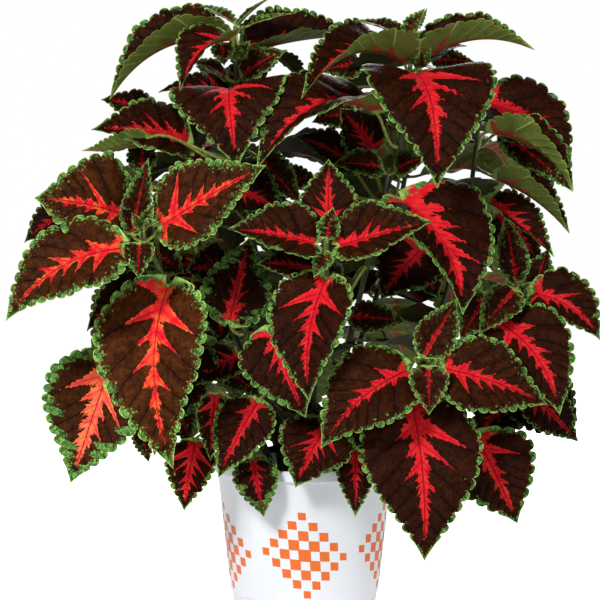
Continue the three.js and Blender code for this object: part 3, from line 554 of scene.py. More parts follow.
def on_shoot(shoot, height):
    """Centre, direction and radius of a shoot at a height."""
    points, directions, radii = PATHS[shoot]
    i = int(np.argmin(abs(points[:, 2] - height)))
    return points[i], directions[i], radii[i]


# Leaves ---------------------------------------------------------------------------------------

# One leaf: the columns of the tables of leaves, as they say there.
LeafRow = namedtuple("LeafRow", "shoot height base tip face width arch fold swing", defaults=(0,))


def leaf_rows(*tables):
    """The rows of some tables, by the names of their columns."""
    return [LeafRow(*row) for table in tables for row in table]


def outline(u):
    """Half width of a blade from base (0) to tip (1), at most 1, drawn in towards the tip."""
    widest = OUTLINE_SHOULDER / (OUTLINE_SHOULDER + OUTLINE_TAPER)
    top = widest**OUTLINE_SHOULDER * (1 - widest) ** OUTLINE_TAPER
    near = np.clip((u - 0.5) / 0.45, 0, 1)
    pinch = 1 - TIP_PINCH * near**2 * (3 - 2 * near)
    return u**OUTLINE_SHOULDER * (1 - u) ** OUTLINE_TAPER / top * pinch


def midrib(row, u):
    """Points, directions and upper-face normals along the midrib of a leaf."""
    base, tip, face = (np.array(v, float) for v in (row.base, row.tip, row.face))
    chord = tip - base
    bow = square_to(face, unit(chord))
    aside = unit(np.cross(chord, bow))
    offset = bow * row.arch + aside * row.swing
    u = np.asarray(u, float)[:, None]
    along = unit(chord + offset * 4 * (1 - 2 * u))
    return base + chord * u + offset * 4 * u * (1 - u), along, square_to(face, along)


class Leaf:
    """A closed skin over the stalk and blade of one leaf, with the values that its pattern needs.

    The blade is a grid: `u` runs along it from base (0) to tip (1), one row to a station, and `v`
    across it from -1 to 1, with `a` for how far out that is. `under` says which of the points
    across are used on the lower face.
    """

    def __init__(self, row, look, index, detail):
        self.row, self.look, self.detail = row, LOOKS[look], detail
        self.dice = np.random.default_rng(SEED + index)
        base, tip = np.array(row.base, float), np.array(row.tip, float)
        self.length = float(np.linalg.norm(tip - base)) + 0.01
        half = DETAIL[detail][0]
        t = np.linspace(-1, 1, 2 * half + 1)
        self.across = np.sign(t) * (1 - (1 - abs(t)) ** 1.3)
        self.under = np.arange(2 * half - 1, 0, -2 if detail == "inner" else -1)
        self.v = self.across[None, :]
        self.a = abs(self.v)
        self.place_stations()
        self.shape_margin()
        self.follow_veins()
        self.raise_relief()

    def place_stations(self):
        """Stations evenly spaced round the margin, a whole number to a lobe, and more at the tip."""
        width = self.row.width
        _, lobe_steps, tip_steps = DETAIL[self.detail]
        lobe_length = LOBE_LENGTH * (0.3 + 0.7 * min(width / GROWN_WIDTH, 1))
        most = MOST_LOBES_INSIDE if self.detail == "inner" else MOST_LOBES
        self.lobes = int(np.clip(round(self.length / lobe_length), FEWEST_LOBES, most))
        fine = np.linspace(0, 1, 400) ** 2
        rim_step = np.hypot(np.diff(fine) * self.length, np.diff(outline(fine)) * width / 2)
        run = np.concatenate([[0], np.cumsum(rim_step)])
        first, last = np.interp([LOBES_START, LOBES_END], fine, run)
        stations = np.interp(np.linspace(first, last, self.lobes * lobe_steps + 1), run, fine)
        near_tip = LOBES_END + (LAST_STATION - LOBES_END) * np.linspace(0, 1, tip_steps)[1:]
        self.u = np.concatenate([FIRST_STATIONS, stations, near_tip])
        self.margin_run = np.interp(self.u, fine, run)
        self.lobed_run = last - first
        self.phase = np.clip((self.margin_run - first) / self.lobed_run, 0, 1) * self.lobes

    def shape_margin(self):
        """Rounded lobes that lean towards the tip, and none near the stalk and the tip."""
        width, v, a, phase = self.row.width, self.v, self.a, self.phase
        smooth = width / 2 * outline(self.u)
        slope_along, slope_out = np.gradient(self.u * self.length), np.gradient(smooth)
        steep = np.hypot(slope_along, slope_out)
        out_along, out_side = -slope_out / steep, slope_along / steep
        inside = np.mod(phase + 1e-6, 1) ** LOBE_LEAN
        bump = (1 - abs(2 * inside - 1) ** 2.4) ** 0.65
        lobed = (phase > 0) & (phase < self.lobes)
        sizes = self.dice.uniform(0.8, 1.15, self.lobes + 1)[phase.astype(int)]
        fade = np.clip(phase * 1.2, 0, 1) * np.clip((self.lobes - phase) * 0.8, 0, 1)
        deep = LOBE_DEPTH * self.lobed_run / self.lobes * fade * sizes
        bulge = deep * (np.where(lobed, bump, 0.4) - 0.6)
        outwards = bulge[:, None] * a**5
        self.y = v * smooth[:, None] + np.sign(v) * outwards * out_side[:, None]
        heart = CORDATE * width * a**1.5 * np.exp(-self.u[:, None] / 0.07)
        self.lean = outwards * out_along[:, None] - heart
        self.r = abs(self.y) / (width / 2)
        self.inset = (1 - a) * smooth[:, None] * out_side[:, None] + (1 - a**5) * bulge[:, None]
        self.smooth, self.lobed, self.bump, self.fade = smooth, lobed, bump, fade

    def follow_veins(self):
        """The number of the vein at each point, and where along the midrib that vein starts."""
        sweep = min(max(1.4 * self.row.width / self.length, 0.6), 1.5)
        u, r = self.u[:, None], self.r
        near_base = (u - 0.07 * sweep * r) / (1 + 1.45 * sweep * r)
        self.root = np.where(near_base < 0.2, near_base, u - 0.36 * sweep * r)
        self.vein = VEINS * self.root + 0.5

    def raise_relief(self):
        """The fold along the midrib, cupped halves, quilting between veins and a wavy margin."""
        row, u, v, a = self.row, self.u[:, None], self.v, self.a
        fold = math.radians(row.fold)
        between = 1 - abs(2 * np.mod(self.vein, 1) - 1)
        shape = self.smooth[:, None] / (row.width / 2)
        # a blade folded well up keeps its halves straight
        limp = min(max((45 - row.fold) / 15, 0), 1)
        cup = CUP * self.smooth[:, None] * 2 * a * (1 - a)
        z = abs(self.y) * math.sin(fold) + limp * (cup - DROOP * row.width * shape * a**4)
        quilt = QUILT * row.width / 100 * (0.2 if self.detail == "inner" else 1)
        z = z - quilt * between**2 * np.sin(math.pi * a**0.8) * shape
        waves = self.dice.uniform(0, 2 * math.pi, 4)
        for one, k in ((v < 0, 0), (v > 0, 1)):
            ripple = np.sin(2 * math.pi * 2.2 * u + waves[k])
            ripple = ripple + 0.6 * np.sin(2 * math.pi * 4.7 * u + waves[k + 2])
            z = z + one * RIPPLE * row.width * ripple * a**2.5 * shape
        self.y = self.y * math.cos(fold)
        self.radius = min(STALK_RADIUS, row.width / 16)
        rib = self.radius * (1 - 0.8 * u)
        ridge = rib * np.exp(-((self.y / np.maximum(1.2 * rib, 0.2)) ** 2))
        self.upper = z - 0.35 * ridge
        self.lower = z - BLADE_THICKNESS * (1 - a**6) - 1.3 * ridge * (1 - a**2)

    def blade_points(self):
        """Rings of points round the blade: the upper face and then the lower one."""
        centre, along, normal = midrib(self.row, self.u)
        side = np.cross(along, normal)

        def at(height):
            return (
                centre[:, None]
                + side[:, None] * self.y[..., None]
                + normal[:, None] * height[..., None]
                + along[:, None] * self.lean[..., None]
            )

        return np.concatenate([at(self.upper), at(self.lower)[:, self.under]], axis=1)

    def stalk_points(self):
        """Rings of points round the stalk, from the shoot to the blade."""
        base, along, normal = (v[0] for v in midrib(self.row, [0]))
        centre, shoot_along, shoot_radius = on_shoot(self.row.shoot, self.row.height)
        outward = square_to(base - centre, shoot_along)
        start = centre + outward * (shoot_radius + SEAT_GAP if self.detail == "full" else 0)
        reach = np.linalg.norm(base - start) / 3
        bends = np.array([start, start + outward * reach, base - along * reach, base])
        t = np.linspace(0, 1, STALK_STEPS + 1)[:-1, None]
        weights = np.hstack([(1 - t) ** 3, 3 * t * (1 - t) ** 2, 3 * t**2 * (1 - t), t**3])
        line = weights @ bends
        slopes = unit(np.gradient(np.vstack([line, base]), axis=0))[:-1]
        turn = math.pi * (np.concatenate([self.across, -2 - self.across[self.under]]) + 1) / 2
        rings = []
        for point, slope in zip(line[::-1], slopes[::-1]):
            normal = square_to(normal, slope)
            side = np.cross(slope, normal)
            ring = np.cos(turn)[:, None] * -side + np.sin(turn)[:, None] * normal
            swell = self.radius * (1 + STALK_SWELL * (len(rings) == len(line) - 1))
            rings.append(point + ring * swell)
        return np.array(rings[::-1])

    def both_faces(self, values):
        """Values on the grid, for the points of the upper face and then of the lower one."""
        values = np.broadcast_to(values, self.y.shape)
        return np.concatenate([values, values[:, self.under]], axis=1).ravel()

    def pattern(self, before):
        """Values that the materials read, on the points of the blade; `before` points come first."""
        row, look, v = self.row, self.look, self.v
        lobed, bump = self.lobed, self.bump
        grown = (0.45 + 0.55 * min(row.width / GROWN_WIDTH, 1)) * look.green
        plain = np.where(self.u < 0.5, 1.2, 2.4)
        border = grown * np.where(lobed, 0.5 + 4.2 * self.fade * bump, plain)
        rank = self.phase.astype(int)
        shares = self.dice.uniform(*LOBE_GREEN, (2, self.lobes + 1))[:, rank][:, :, None]
        border = border[:, None] * np.where(lobed[:, None], np.where(v < 0, *shares), 1)
        core = np.interp(self.u, *FLARE_CORE)[:, None] * look.core
        arm = np.interp(self.root, *FLARE_ARMS) * look.flare
        beside = np.sign(v) * self.r
        sets = {
            "blade": (self.u[:, None], beside, self.inset),
            "vein": (self.vein, self.u[:, None] * self.length, beside * row.width / 2),
            "flare": (core, arm, look.orange),
            "look": (look.brown, look.flecks, float(self.dice.integers(1, 200))),
            # painted light and shade: the look's factor over the whole leaf
            "shade": (look.shade, look.shade, look.shade),
            "margin": (border, self.margin_run[:, None], np.where(lobed, bump, 0.7)[:, None]),
        }
        # the stalk's points carry the look's painted light and shade too; the other values are 0 on them
        return {
            key: np.vstack(
                [
                    np.zeros((before, 3)) + (look.shade if key == "shade" else 0),
                    np.stack([self.both_faces(part) for part in parts], 1),
                    [[1, 0, 0]],
                ]
            )
            for key, parts in sets.items()
        }

    def faces(self, stalk_rings, size):
        """Quads between rings, a fan at the tip and a cap at the shoot, with each one's material."""
        count = stalk_rings + len(self.u)
        ring, step = np.meshgrid(np.arange(count - 1), np.arange(size), indexing="ij")
        here, beside = ring * size + step, ring * size + (step + 1) % size
        quads = np.stack([here, beside, beside + size, here + size], -1)
        top = len(self.across) - 1
        lower_half = step >= top  # cut along the same diagonal as the upper face
        quads[lower_half] = np.roll(quads[lower_half], -1, axis=1)
        last = (count - 1) * size
        fan = [(last + j, last + (j + 1) % size, count * size) for j in range(size)]
        cap = [tuple(range(size - 1, -1, -1))]
        faces = [tuple(q) for q in quads.reshape(-1, 4).tolist()] + fan + cap
        kind = np.where(ring < stalk_rings, STALK, np.where(step < top, UPPER, UNDER)).ravel()
        kinds = list(kind) + [UPPER if j < top else UNDER for j in range(size)] + [STALK]
        return faces, kinds

    def build(self):
        """Points, faces, each face's material, pattern values and which points are on the margin."""
        blade, stalk = self.blade_points(), self.stalk_points()
        rings, size = len(stalk), blade.shape[1]
        end = midrib(self.row, [1])[0]
        points = np.vstack([stalk.reshape(-1, 3), blade.reshape(-1, 3), end])
        faces, kinds = self.faces(rings, size)
        rim = np.zeros(len(points), bool)
        rows = np.arange(rings + 2, rings + len(self.u))
        rim[rows * size] = rim[rows * size + len(self.across) - 1] = True
        rim[-1] = True
        return points, faces, kinds, self.pattern(rings * size), rim


def join_leaves(parts):
    """What Leaf.build gives, for several leaves together."""
    shift, faces = 0, []
    for points, part_faces, *_ in parts:
        faces += [tuple(i + shift for i in face) for face in part_faces]
        shift += len(points)
    return (
        np.vstack([p[0] for p in parts]),
        faces,
        sum((list(p[2]) for p in parts), []),
        {key: np.vstack([p[3][key] for p in parts]) for key in parts[0][3]},
        np.concatenate([p[4] for p in parts]),
    )


# Inner leaves ---------------------------------------------------------------------------------


def leaf_samples(row):
    """Points spread over a blade, flat, for keeping leaves apart."""
    u = np.array([0.08, 0.2, 0.32, 0.44, 0.56, 0.68, 0.8, 0.9, 1.0])
    rows_of_points = (-0.92, -0.6, -0.3, 0, 0.3, 0.6, 0.92)
    centre, along, normal = midrib(row, u)
    half = row.width / 2 * outline(u)
    side = np.cross(along, normal) * half[:, None]
    rise = normal * (half * math.sin(math.radians(row.fold)))[:, None]
    return np.vstack([centre + side * k + rise * abs(k) for k in rows_of_points])


def seen_from_front(points):
    """Where points stand across and up, as the camera sees them on the plane through the pot."""
    eye = np.array(CAMERA_PLACE) / MM
    scale = eye[1] / (eye[1] - points[:, 1])
    return eye[[0, 2]] + (points[:, [0, 2]] - eye[[0, 2]]) * scale[:, None]


def inside_outline(spots, corners):
    """Whether each spot is inside a closed outline."""
    x, z = spots[:, :1], spots[:, 1:]
    x0, z0 = np.array(corners, float).T
    x1, z1 = np.roll(x0, -1), np.roll(z0, -1)
    spans = (z0 > z) != (z1 > z)
    with np.errstate(divide="ignore", invalid="ignore"):
        crossing = x0 + (z - z0) * (x1 - x0) / (z1 - z0)
    return (spans & (x < crossing)).sum(1) % 2 == 1


def cells_of(spots):
    """Squares of a grid that spots fall in, as numbers."""
    return ((spots + 400) // GRID).astype(int) @ (1, 1000)


def seen_cells(points):
    """Squares that points cover, seen from the front, the side, two diagonals and above."""
    x, y, z = points.T
    views = [seen_from_front(points)]
    for turn in np.radians(SIDE_TURNS):
        views.append(np.column_stack([x * math.cos(turn) + y * math.sin(turn), z]))
    views.append(np.column_stack([x, y]))
    return [cells_of(spots) for spots in views]


def depth_in_crown(points):
    """How far out points are: 0 on the crown's axis, 1 on its rounded outline."""
    x, y, z = points.T
    girth = np.interp(z, *CROWN_GIRTH)
    return np.hypot(x / (CROWN_HALF_WIDTH * girth), (y - CROWN_MIDDLE_Y) / (CROWN_HALF_DEPTH * girth))


def fits(points):
    """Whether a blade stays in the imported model's box, the crown and clear of the openings."""
    low, high = (np.array(corner) / MM for corner in CAD_BOX)
    if (points < low + BOX_CLEARANCE).any() or (points > high - BOX_CLEARANCE).any():
        return False
    if points[:, 2].min() < POT_HEIGHT + 4:
        return False
    spots = seen_from_front(points)
    if not inside_outline(spots, CROWN).all() or (depth_in_crown(points) > 1).any():
        return False
    return not any((np.hypot(*(spots - (x, z)).T) < wide).any() for x, z, wide in SKY_GAPS)


class Crown:
    """What the leaves cover so far, and how near a new one comes to them."""

    def __init__(self, rows):
        self.points = np.vstack([leaf_samples(row) for row in rows])
        self.covered = [set(cells) for cells in seen_cells(self.points)]
        self.foremost = {}
        for spot, depth in zip(seen_cells(self.points)[0], self.points[:, 1]):
            self.foremost[spot] = min(depth, self.foremost.get(spot, 1e4))
        self.plant_tree()

    def plant_tree(self):
        """The search tree that finds the nearest of the points."""
        self.tree = KDTree(len(self.points))
        for i, point in enumerate(self.points):
            self.tree.insert(point, i)
        self.tree.balance()

    def add(self, row):
        """Counts a new leaf among those that cover and crowd."""
        mine = leaf_samples(row)
        self.points = np.vstack([self.points, mine])
        for before, now in zip(self.covered, seen_cells(mine)):
            before |= set(now)
        self.plant_tree()

    def worth(self, row, view, least):
        """How many open squares a leaf closes, or `least` where that is no more or it doesn't fit."""
        mine = leaf_samples(row)
        if not fits(mine):
            return least
        seen = seen_cells(mine)
        in_front = sum(self.foremost.get(spot, -1e4) > y + 3 for spot, y in zip(seen[0], mine[:, 1]))
        fresh = [len(set(now) - before) for now, before in zip(seen, self.covered)]
        worth = 3 * fresh[view] + sum(fresh)
        if in_front > MOST_IN_FRONT or worth <= least:
            return least
        crowded = sum(self.tree.find(point)[2] < INNER_CLEARANCE for point in mine)
        return least if crowded > MOST_CROWDED else worth


def random_leaf(dice, across, up, view, sizes, steps, owners):
    """A leaf on a nearby shoot whose middle shows at a place of a view, or None."""
    deep = dice.uniform(*TRY_DEEP)
    middle = np.array([across, deep, up])
    if view:
        turn = math.radians((0, *SIDE_TURNS, 0)[view])
        x = across * math.cos(turn) - deep * math.sin(turn)
        middle = np.array([x, across * math.sin(turn) + deep * math.cos(turn) + CROWN_MIDDLE_Y, up])
    away = middle - steps
    near = np.linalg.norm(away + (0, 0, 12), axis=1)
    k = int(np.argmin(abs(near - dice.uniform(*SHOOT_REACH))))
    if near[k] > FARTHEST_REACH:
        return None
    level = unit(away[k] * (1, 1, 0) + dice.uniform(-0.4, 0.4, 3) * (40, 40, 0) + (0.01, 0, 0))
    pitch = math.radians(dice.uniform(-65, 25))
    out = level * math.cos(pitch) + np.array([0, 0, 1]) * math.sin(pitch)
    length = dice.uniform(*sizes)
    base = middle - out * length * 0.45
    shortest, longest = STALK_LENGTHS
    if not shortest <= np.linalg.norm(base - steps[k]) <= longest:
        return None
    face = np.array([0, 0, 1]) * dice.uniform(0.3, 1.1) + level * dice.uniform(0.3, 1.2)
    width = length * dice.uniform(0.64, 0.86)
    fold = dice.uniform(6, 26)
    tip = base + out * length
    return LeafRow(str(owners[k]), steps[k][2], base, tip, face, width, length * 0.08, fold)


def grow_inner_leaves(count):
    """Rows for leaves where the crown is still open. For each open square, seen from the front, the
    side, two diagonals and above, the best of several leaves on a nearby shoot is kept, if it
    is clear of the other leaves and doesn't stand in front of them."""
    dice = np.random.default_rng(SEED)
    crown = Crown(leaf_rows([row[1:] for row in LEAVES], JOINED_LEAVES, MORE_LEAVES))
    steps = np.vstack([PATHS[shoot][0] for shoot in SHOOTS])
    owners = np.repeat(list(SHOOTS), SHOOT_STEPS)
    usable = steps[:, 2] > SOIL_TOP + 20
    steps, owners = steps[usable], owners[usable]
    rows = []
    for view, attempts, least, *sizes in ROUNDS:
        for _ in range(attempts):
            best, best_worth = None, least
            across, up = dice.uniform(*TRY_ACROSS), dice.uniform(*TRY_UP)
            if view == 0 and cells_of(np.array([[across, up]]))[0] in crown.covered[0]:
                continue
            for _ in range(INNER_TRIES):
                row = random_leaf(dice, across, up, view, sizes, steps, owners)
                worth = crown.worth(row, view, best_worth) if row else best_worth
                if worth > best_worth:
                    best, best_worth = row, worth
            if best:
                crown.add(best)
                rows.append(best)
            if len(rows) >= count:
                return rows
    return rows


# Materials ------------------------------------------------------------------------------------


def leaf_pattern(tree):
    """Nodes that both faces of a blade share: its pattern values, its veins and its red flare."""
    leaf = {}
    for key in ("blade", "vein", "flare", "look", "margin"):
        source = add(tree, "ShaderNodeAttribute", attribute_name=key)
        leaf[key] = add(tree, "ShaderNodeSeparateXYZ", [(source, "Vector")])
    leaf["across"] = add(tree, "ShaderNodeMath", [(leaf["blade"], "Y")], operation="ABSOLUTE")
    wave = add(tree, "ShaderNodeMath", [(leaf["vein"], "X"), 0.5], operation="PINGPONG")
    leaf["near_vein"] = add(tree, "ShaderNodeMath", [wave, 2.0], operation="MULTIPLY")
    leaf["seed"] = add(tree, "ShaderNodeMath", [(leaf["look"], "Z")], operation="ROUND")
    place_on = [(leaf["vein"], "Y"), (leaf["vein"], "Z"), leaf["seed"]]
    leaf["surface"] = add(tree, "ShaderNodeCombineXYZ", place_on)
    # thin lines over the veins: 1 on a lateral vein or the midrib, 0 a little beside it
    leaf["lateral"] = add(
        tree, "ShaderNodeMapRange", {0: leaf["near_vein"], 1: 0.9, 2: 1.0}, interpolation_type="SMOOTHSTEP"
    )
    beside = add(tree, "ShaderNodeMath", [(leaf["vein"], "Z")], operation="ABSOLUTE")
    leaf["midline"] = add(
        tree, "ShaderNodeMapRange", {0: beside, 1: 0.9, 2: 0.35}, interpolation_type="SMOOTHSTEP"
    )
    net = {"Vector": leaf["surface"], "Scale": 1 / NET_CELL}
    leaf["net"] = add(tree, "ShaderNodeTexVoronoi", net, feature="DISTANCE_TO_EDGE")
    cells = add(tree, "ShaderNodeTexVoronoi", net, feature="F1")
    leaf["cell"] = add(tree, "ShaderNodeSeparateColor", [(cells, "Color")])
    # flare: a core along the midrib and an arm along each vein, each of its own length, with barbs
    number = add(tree, "ShaderNodeMath", [(leaf["vein"], "X")], operation="FLOOR")
    hand = add(tree, "ShaderNodeMath", [(leaf["blade"], "Y")], operation="SIGN")
    this_vein = add(tree, "ShaderNodeCombineXYZ", [number, hand, leaf["seed"]])
    chance = add(tree, "ShaderNodeTexWhiteNoise", [this_vein])
    spread = add(tree, "ShaderNodeMapRange", {0: chance, 3: 0.15, 4: 1.5})
    spike = add(tree, "ShaderNodeMath", [leaf["near_vein"], 2.4], operation="POWER")
    arm = add(tree, "ShaderNodeMath", [spike, (leaf["flare"], "Y")], operation="MULTIPLY")
    arms = add(tree, "ShaderNodeMath", [arm, spread, (leaf["flare"], "X")], operation="MULTIPLY_ADD")
    swept = add(tree, "ShaderNodeMath", [leaf["near_vein"], 0.2, leaf["across"]], operation="MULTIPLY_ADD")
    along = add(tree, "ShaderNodeMath", [swept, 15.0], operation="MULTIPLY")
    apart = add(tree, "ShaderNodeMath", [number, 7.3, hand], operation="MULTIPLY_ADD")
    barb_at = add(tree, "ShaderNodeCombineXYZ", [along, apart, leaf["seed"]])
    barb = add(tree, "ShaderNodeTexNoise", {"Vector": barb_at, "Scale": 1.0, "Detail": 3.0})
    ragged = add(
        tree, "ShaderNodeMapRange", {0: barb, 1: 0.25, 2: 0.75, 3: -0.13, 4: 0.13}, clamp=False
    )
    finer = add(tree, "ShaderNodeMath", [(leaf["flare"], "X"), 5.0, 0.25], operation="MULTIPLY_ADD")
    barbs = add(tree, "ShaderNodeMath", [ragged, finer], operation="MULTIPLY")
    edge = add(tree, "ShaderNodeMath", [arms, barbs], operation="ADD")
    leaf["over"] = add(tree, "ShaderNodeMath", [edge, leaf["across"]], operation="SUBTRACT")
    leaf["red"] = add(tree, "ShaderNodeMapRange", {0: leaf["over"], 1: -0.01, 2: 0.015})
    return leaf


def complete_shader(tree, shader, base, roughness, specular=None, relief=None):
    """Gives a shader its colour (node, output), its roughness (a value or a node) and its relief:
    height node, strength and depth in metres."""
    tree.links.new(base[0].outputs[base[1]], shader.inputs["Base Color"])
    if isinstance(roughness, bpy.types.Node):
        tree.links.new(roughness.outputs[0], shader.inputs["Roughness"])
    else:
        shader.inputs["Roughness"].default_value = roughness
    if specular is not None:
        shader.inputs["Specular IOR Level"].default_value = specular
    if relief:
        height, strength, depth = relief
        bump = add(
            tree, "ShaderNodeBump", {"Height": height, "Strength": strength, "Distance": depth}
        )
        tree.links.new(bump.outputs[0], shader.inputs["Normal"])


def leaf_relief(tree, leaf):
    """Height of the veins and of the fine net between them."""
    veins = add(tree, "ShaderNodeMath", [leaf["lateral"], leaf["midline"]], operation="MAXIMUM")
    net = add(tree, "ShaderNodeMapRange", {0: leaf["net"], 1: 0.0, 2: 0.25, 3: 0.0, 4: 0.35})
    return add(tree, "ShaderNodeMath", [veins, -0.8, net], operation="MULTIPLY_ADD")


def dark_blade(tree, leaf, cloud):
    """Colour of the blade: maroon to brown, mottled cell by cell, with painted shade that darkens it
    towards the veins.
    """
    tones = (("#110301", "#280A03"), ("#230D04", "#4A250B"))
    maroon, brown = (
        add(tree, "ShaderNodeMix", {0: cloud, 6: colour(low), 7: colour(high)}, data_type="RGBA")
        for low, high in tones
    )
    toned = add(
        tree, "ShaderNodeMix", {0: (leaf["look"], "X"), 6: (maroon, 2), 7: (brown, 2)}, data_type="RGBA"
    )
    # mottling: each small cell of the net has its own depth, and the lines between them are dark
    mottle = add(tree, "ShaderNodeTexNoise", {"Vector": leaf["surface"], "Scale": 0.22, "Detail": 4.0})
    patch = add(tree, "ShaderNodeMapRange", {0: mottle, 1: 0.36, 2: 0.64, 3: 0.68, 4: 1.5})
    own = add(tree, "ShaderNodeMapRange", {0: (leaf["cell"], "Green"), 3: 0.88, 4: 1.14})
    lanes = add(tree, "ShaderNodeMapRange", {0: leaf["lane"], 1: 0.5, 2: 1.0, 3: 0.78, 4: 1.04})
    depth = add(tree, "ShaderNodeMath", [patch, own], operation="MULTIPLY")
    depths = add(tree, "ShaderNodeMath", [depth, lanes], operation="MULTIPLY")
    blade = add(tree, "ShaderNodeVectorMath", {0: (toned, 2), "Scale": depths}, operation="SCALE")
    # quilting: painted shade darkens the blade towards each vein, where it dips, and leaves it lighter on
    # the pillow between two; a thin darker line lies on each vein
    painted_valley_shade = add(tree, "ShaderNodeMapRange", {0: leaf["near_vein"], 1: 0.35, 2: 1.0, 3: 0.0, 4: 0.42})
    vein_lines_and_painted_shade = add(tree, "ShaderNodeMath", [leaf["lateral"], 0.4, painted_valley_shade], operation="MULTIPLY_ADD")
    return add(tree, "ShaderNodeMix", {0: vein_lines_and_painted_shade, 6: blade, 7: colour("#120504")}, data_type="RGBA")


def red_flare(tree, leaf, blade, sizes):
    """The flare over the blade: red, orange towards the ends of its arms, dark along the veins."""
    patches = add(tree, "ShaderNodeTexNoise", {"Vector": leaf["surface"], "Scale": 0.14, "Detail": 3.0})
    warm = add(tree, "ShaderNodeMapRange", {0: patches, 1: 0.42, 2: 0.62})
    outer = add(tree, "ShaderNodeMapRange", {0: leaf["over"], 1: 0.3, 2: 0.0, 3: 0.2, 4: 1.0})
    warmer = add(tree, "ShaderNodeMath", [warm, outer], operation="MULTIPLY")
    amber = add(tree, "ShaderNodeMath", [warmer, (leaf["flare"], "Z")], operation="MULTIPLY")
    pale = add(tree, "ShaderNodeMapRange", {0: (leaf["flare"], "Z"), 1: 1.0, 2: 2.0})
    lines = add(tree, "ShaderNodeMath", [leaf["lateral"], 0.3], operation="MULTIPLY")
    middle = add(tree, "ShaderNodeMath", [leaf["midline"], 0.75, lines], operation="MULTIPLY_ADD")
    flare = add(
        tree, "ShaderNodeMix", {0: patches, 6: colour("#C90F22"), 7: [*sizes.flare_colour, 1]},
        data_type="RGBA",
    )
    for share, tint in ((amber, "#F98A34"), (pale, "#F0604C"), (middle, "#8C0A1C")):
        flare = add(tree, "ShaderNodeMix", {0: share, 6: (flare, 2), 7: colour(tint)}, data_type="RGBA")
    return add(tree, "ShaderNodeMix", {0: leaf["red"], 6: (blade, 2), 7: (flare, 2)}, data_type="RGBA")


def green_lobes(tree, leaf):
    """How green the margin is: a crescent on each lobe, cut from inside by dark veinlets, and
    flecks, which are single cells just inside the lobes."""
    cut_run = add(tree, "ShaderNodeMath", [(leaf["vein"], "X"), VEINLETS], operation="MULTIPLY")
    shifted = add(tree, "ShaderNodeMath", [leaf["wobble"], 1.5, cut_run], operation="MULTIPLY_ADD")
    cut_wave = add(tree, "ShaderNodeMath", [shifted, 0.5], operation="PINGPONG")
    cut = add(
        tree, "ShaderNodeMapRange", {0: cut_wave, 1: 0.33, 2: 0.45, 3: 0.0, 4: 1.0},
        interpolation_type="SMOOTHSTEP",
    )
    deep = add(tree, "ShaderNodeMapRange", {0: leaf["wobble"], 1: 0.3, 2: 0.7, 3: 1.6, 4: 4.4})
    cuts = add(tree, "ShaderNodeMath", [cut, deep], operation="MULTIPLY")
    crescent = add(tree, "ShaderNodeMath", [(leaf["margin"], "X"), cuts], operation="SUBTRACT")
    stepped = add(
        tree, "ShaderNodeMath", [(leaf["cell"], "Blue"), 2.4, crescent], operation="MULTIPLY_ADD"
    )
    into = add(tree, "ShaderNodeMath", [stepped, (leaf["blade"], "Z")], operation="SUBTRACT")
    solid = add(tree, "ShaderNodeMapRange", {0: into, 1: 0.8, 2: 1.1})
    # flecks
    beyond = add(
        tree, "ShaderNodeMath", [(leaf["blade"], "Z"), (leaf["margin"], "X")], operation="SUBTRACT"
    )
    fewer = add(tree, "ShaderNodeMapRange", {0: beyond, 1: 0.6, 2: 7.5, 3: 1.1, 4: 0.0})
    likely = add(tree, "ShaderNodeMath", [fewer, (leaf["look"], "Y")], operation="MULTIPLY")
    chosen = add(tree, "ShaderNodeMath", [likely, (leaf["cell"], "Red")], operation="SUBTRACT")
    clear = add(tree, "ShaderNodeMapRange", {0: chosen, 1: 0.0, 2: 0.04})
    facing = add(tree, "ShaderNodeMapRange", {0: (leaf["margin"], "Z"), 1: 0.5, 2: 0.75})
    shut = add(tree, "ShaderNodeMapRange", {0: leaf["net"], 1: 0.07, 2: 0.14})
    flecks = add(tree, "ShaderNodeMapRange", {0: beyond, 1: 0.5, 2: 1.0})
    for share in (facing, shut, clear, 0.6):
        flecks = add(tree, "ShaderNodeMath", [flecks, share], operation="MULTIPLY")
    return add(tree, "ShaderNodeMath", [flecks, solid], operation="MAXIMUM")


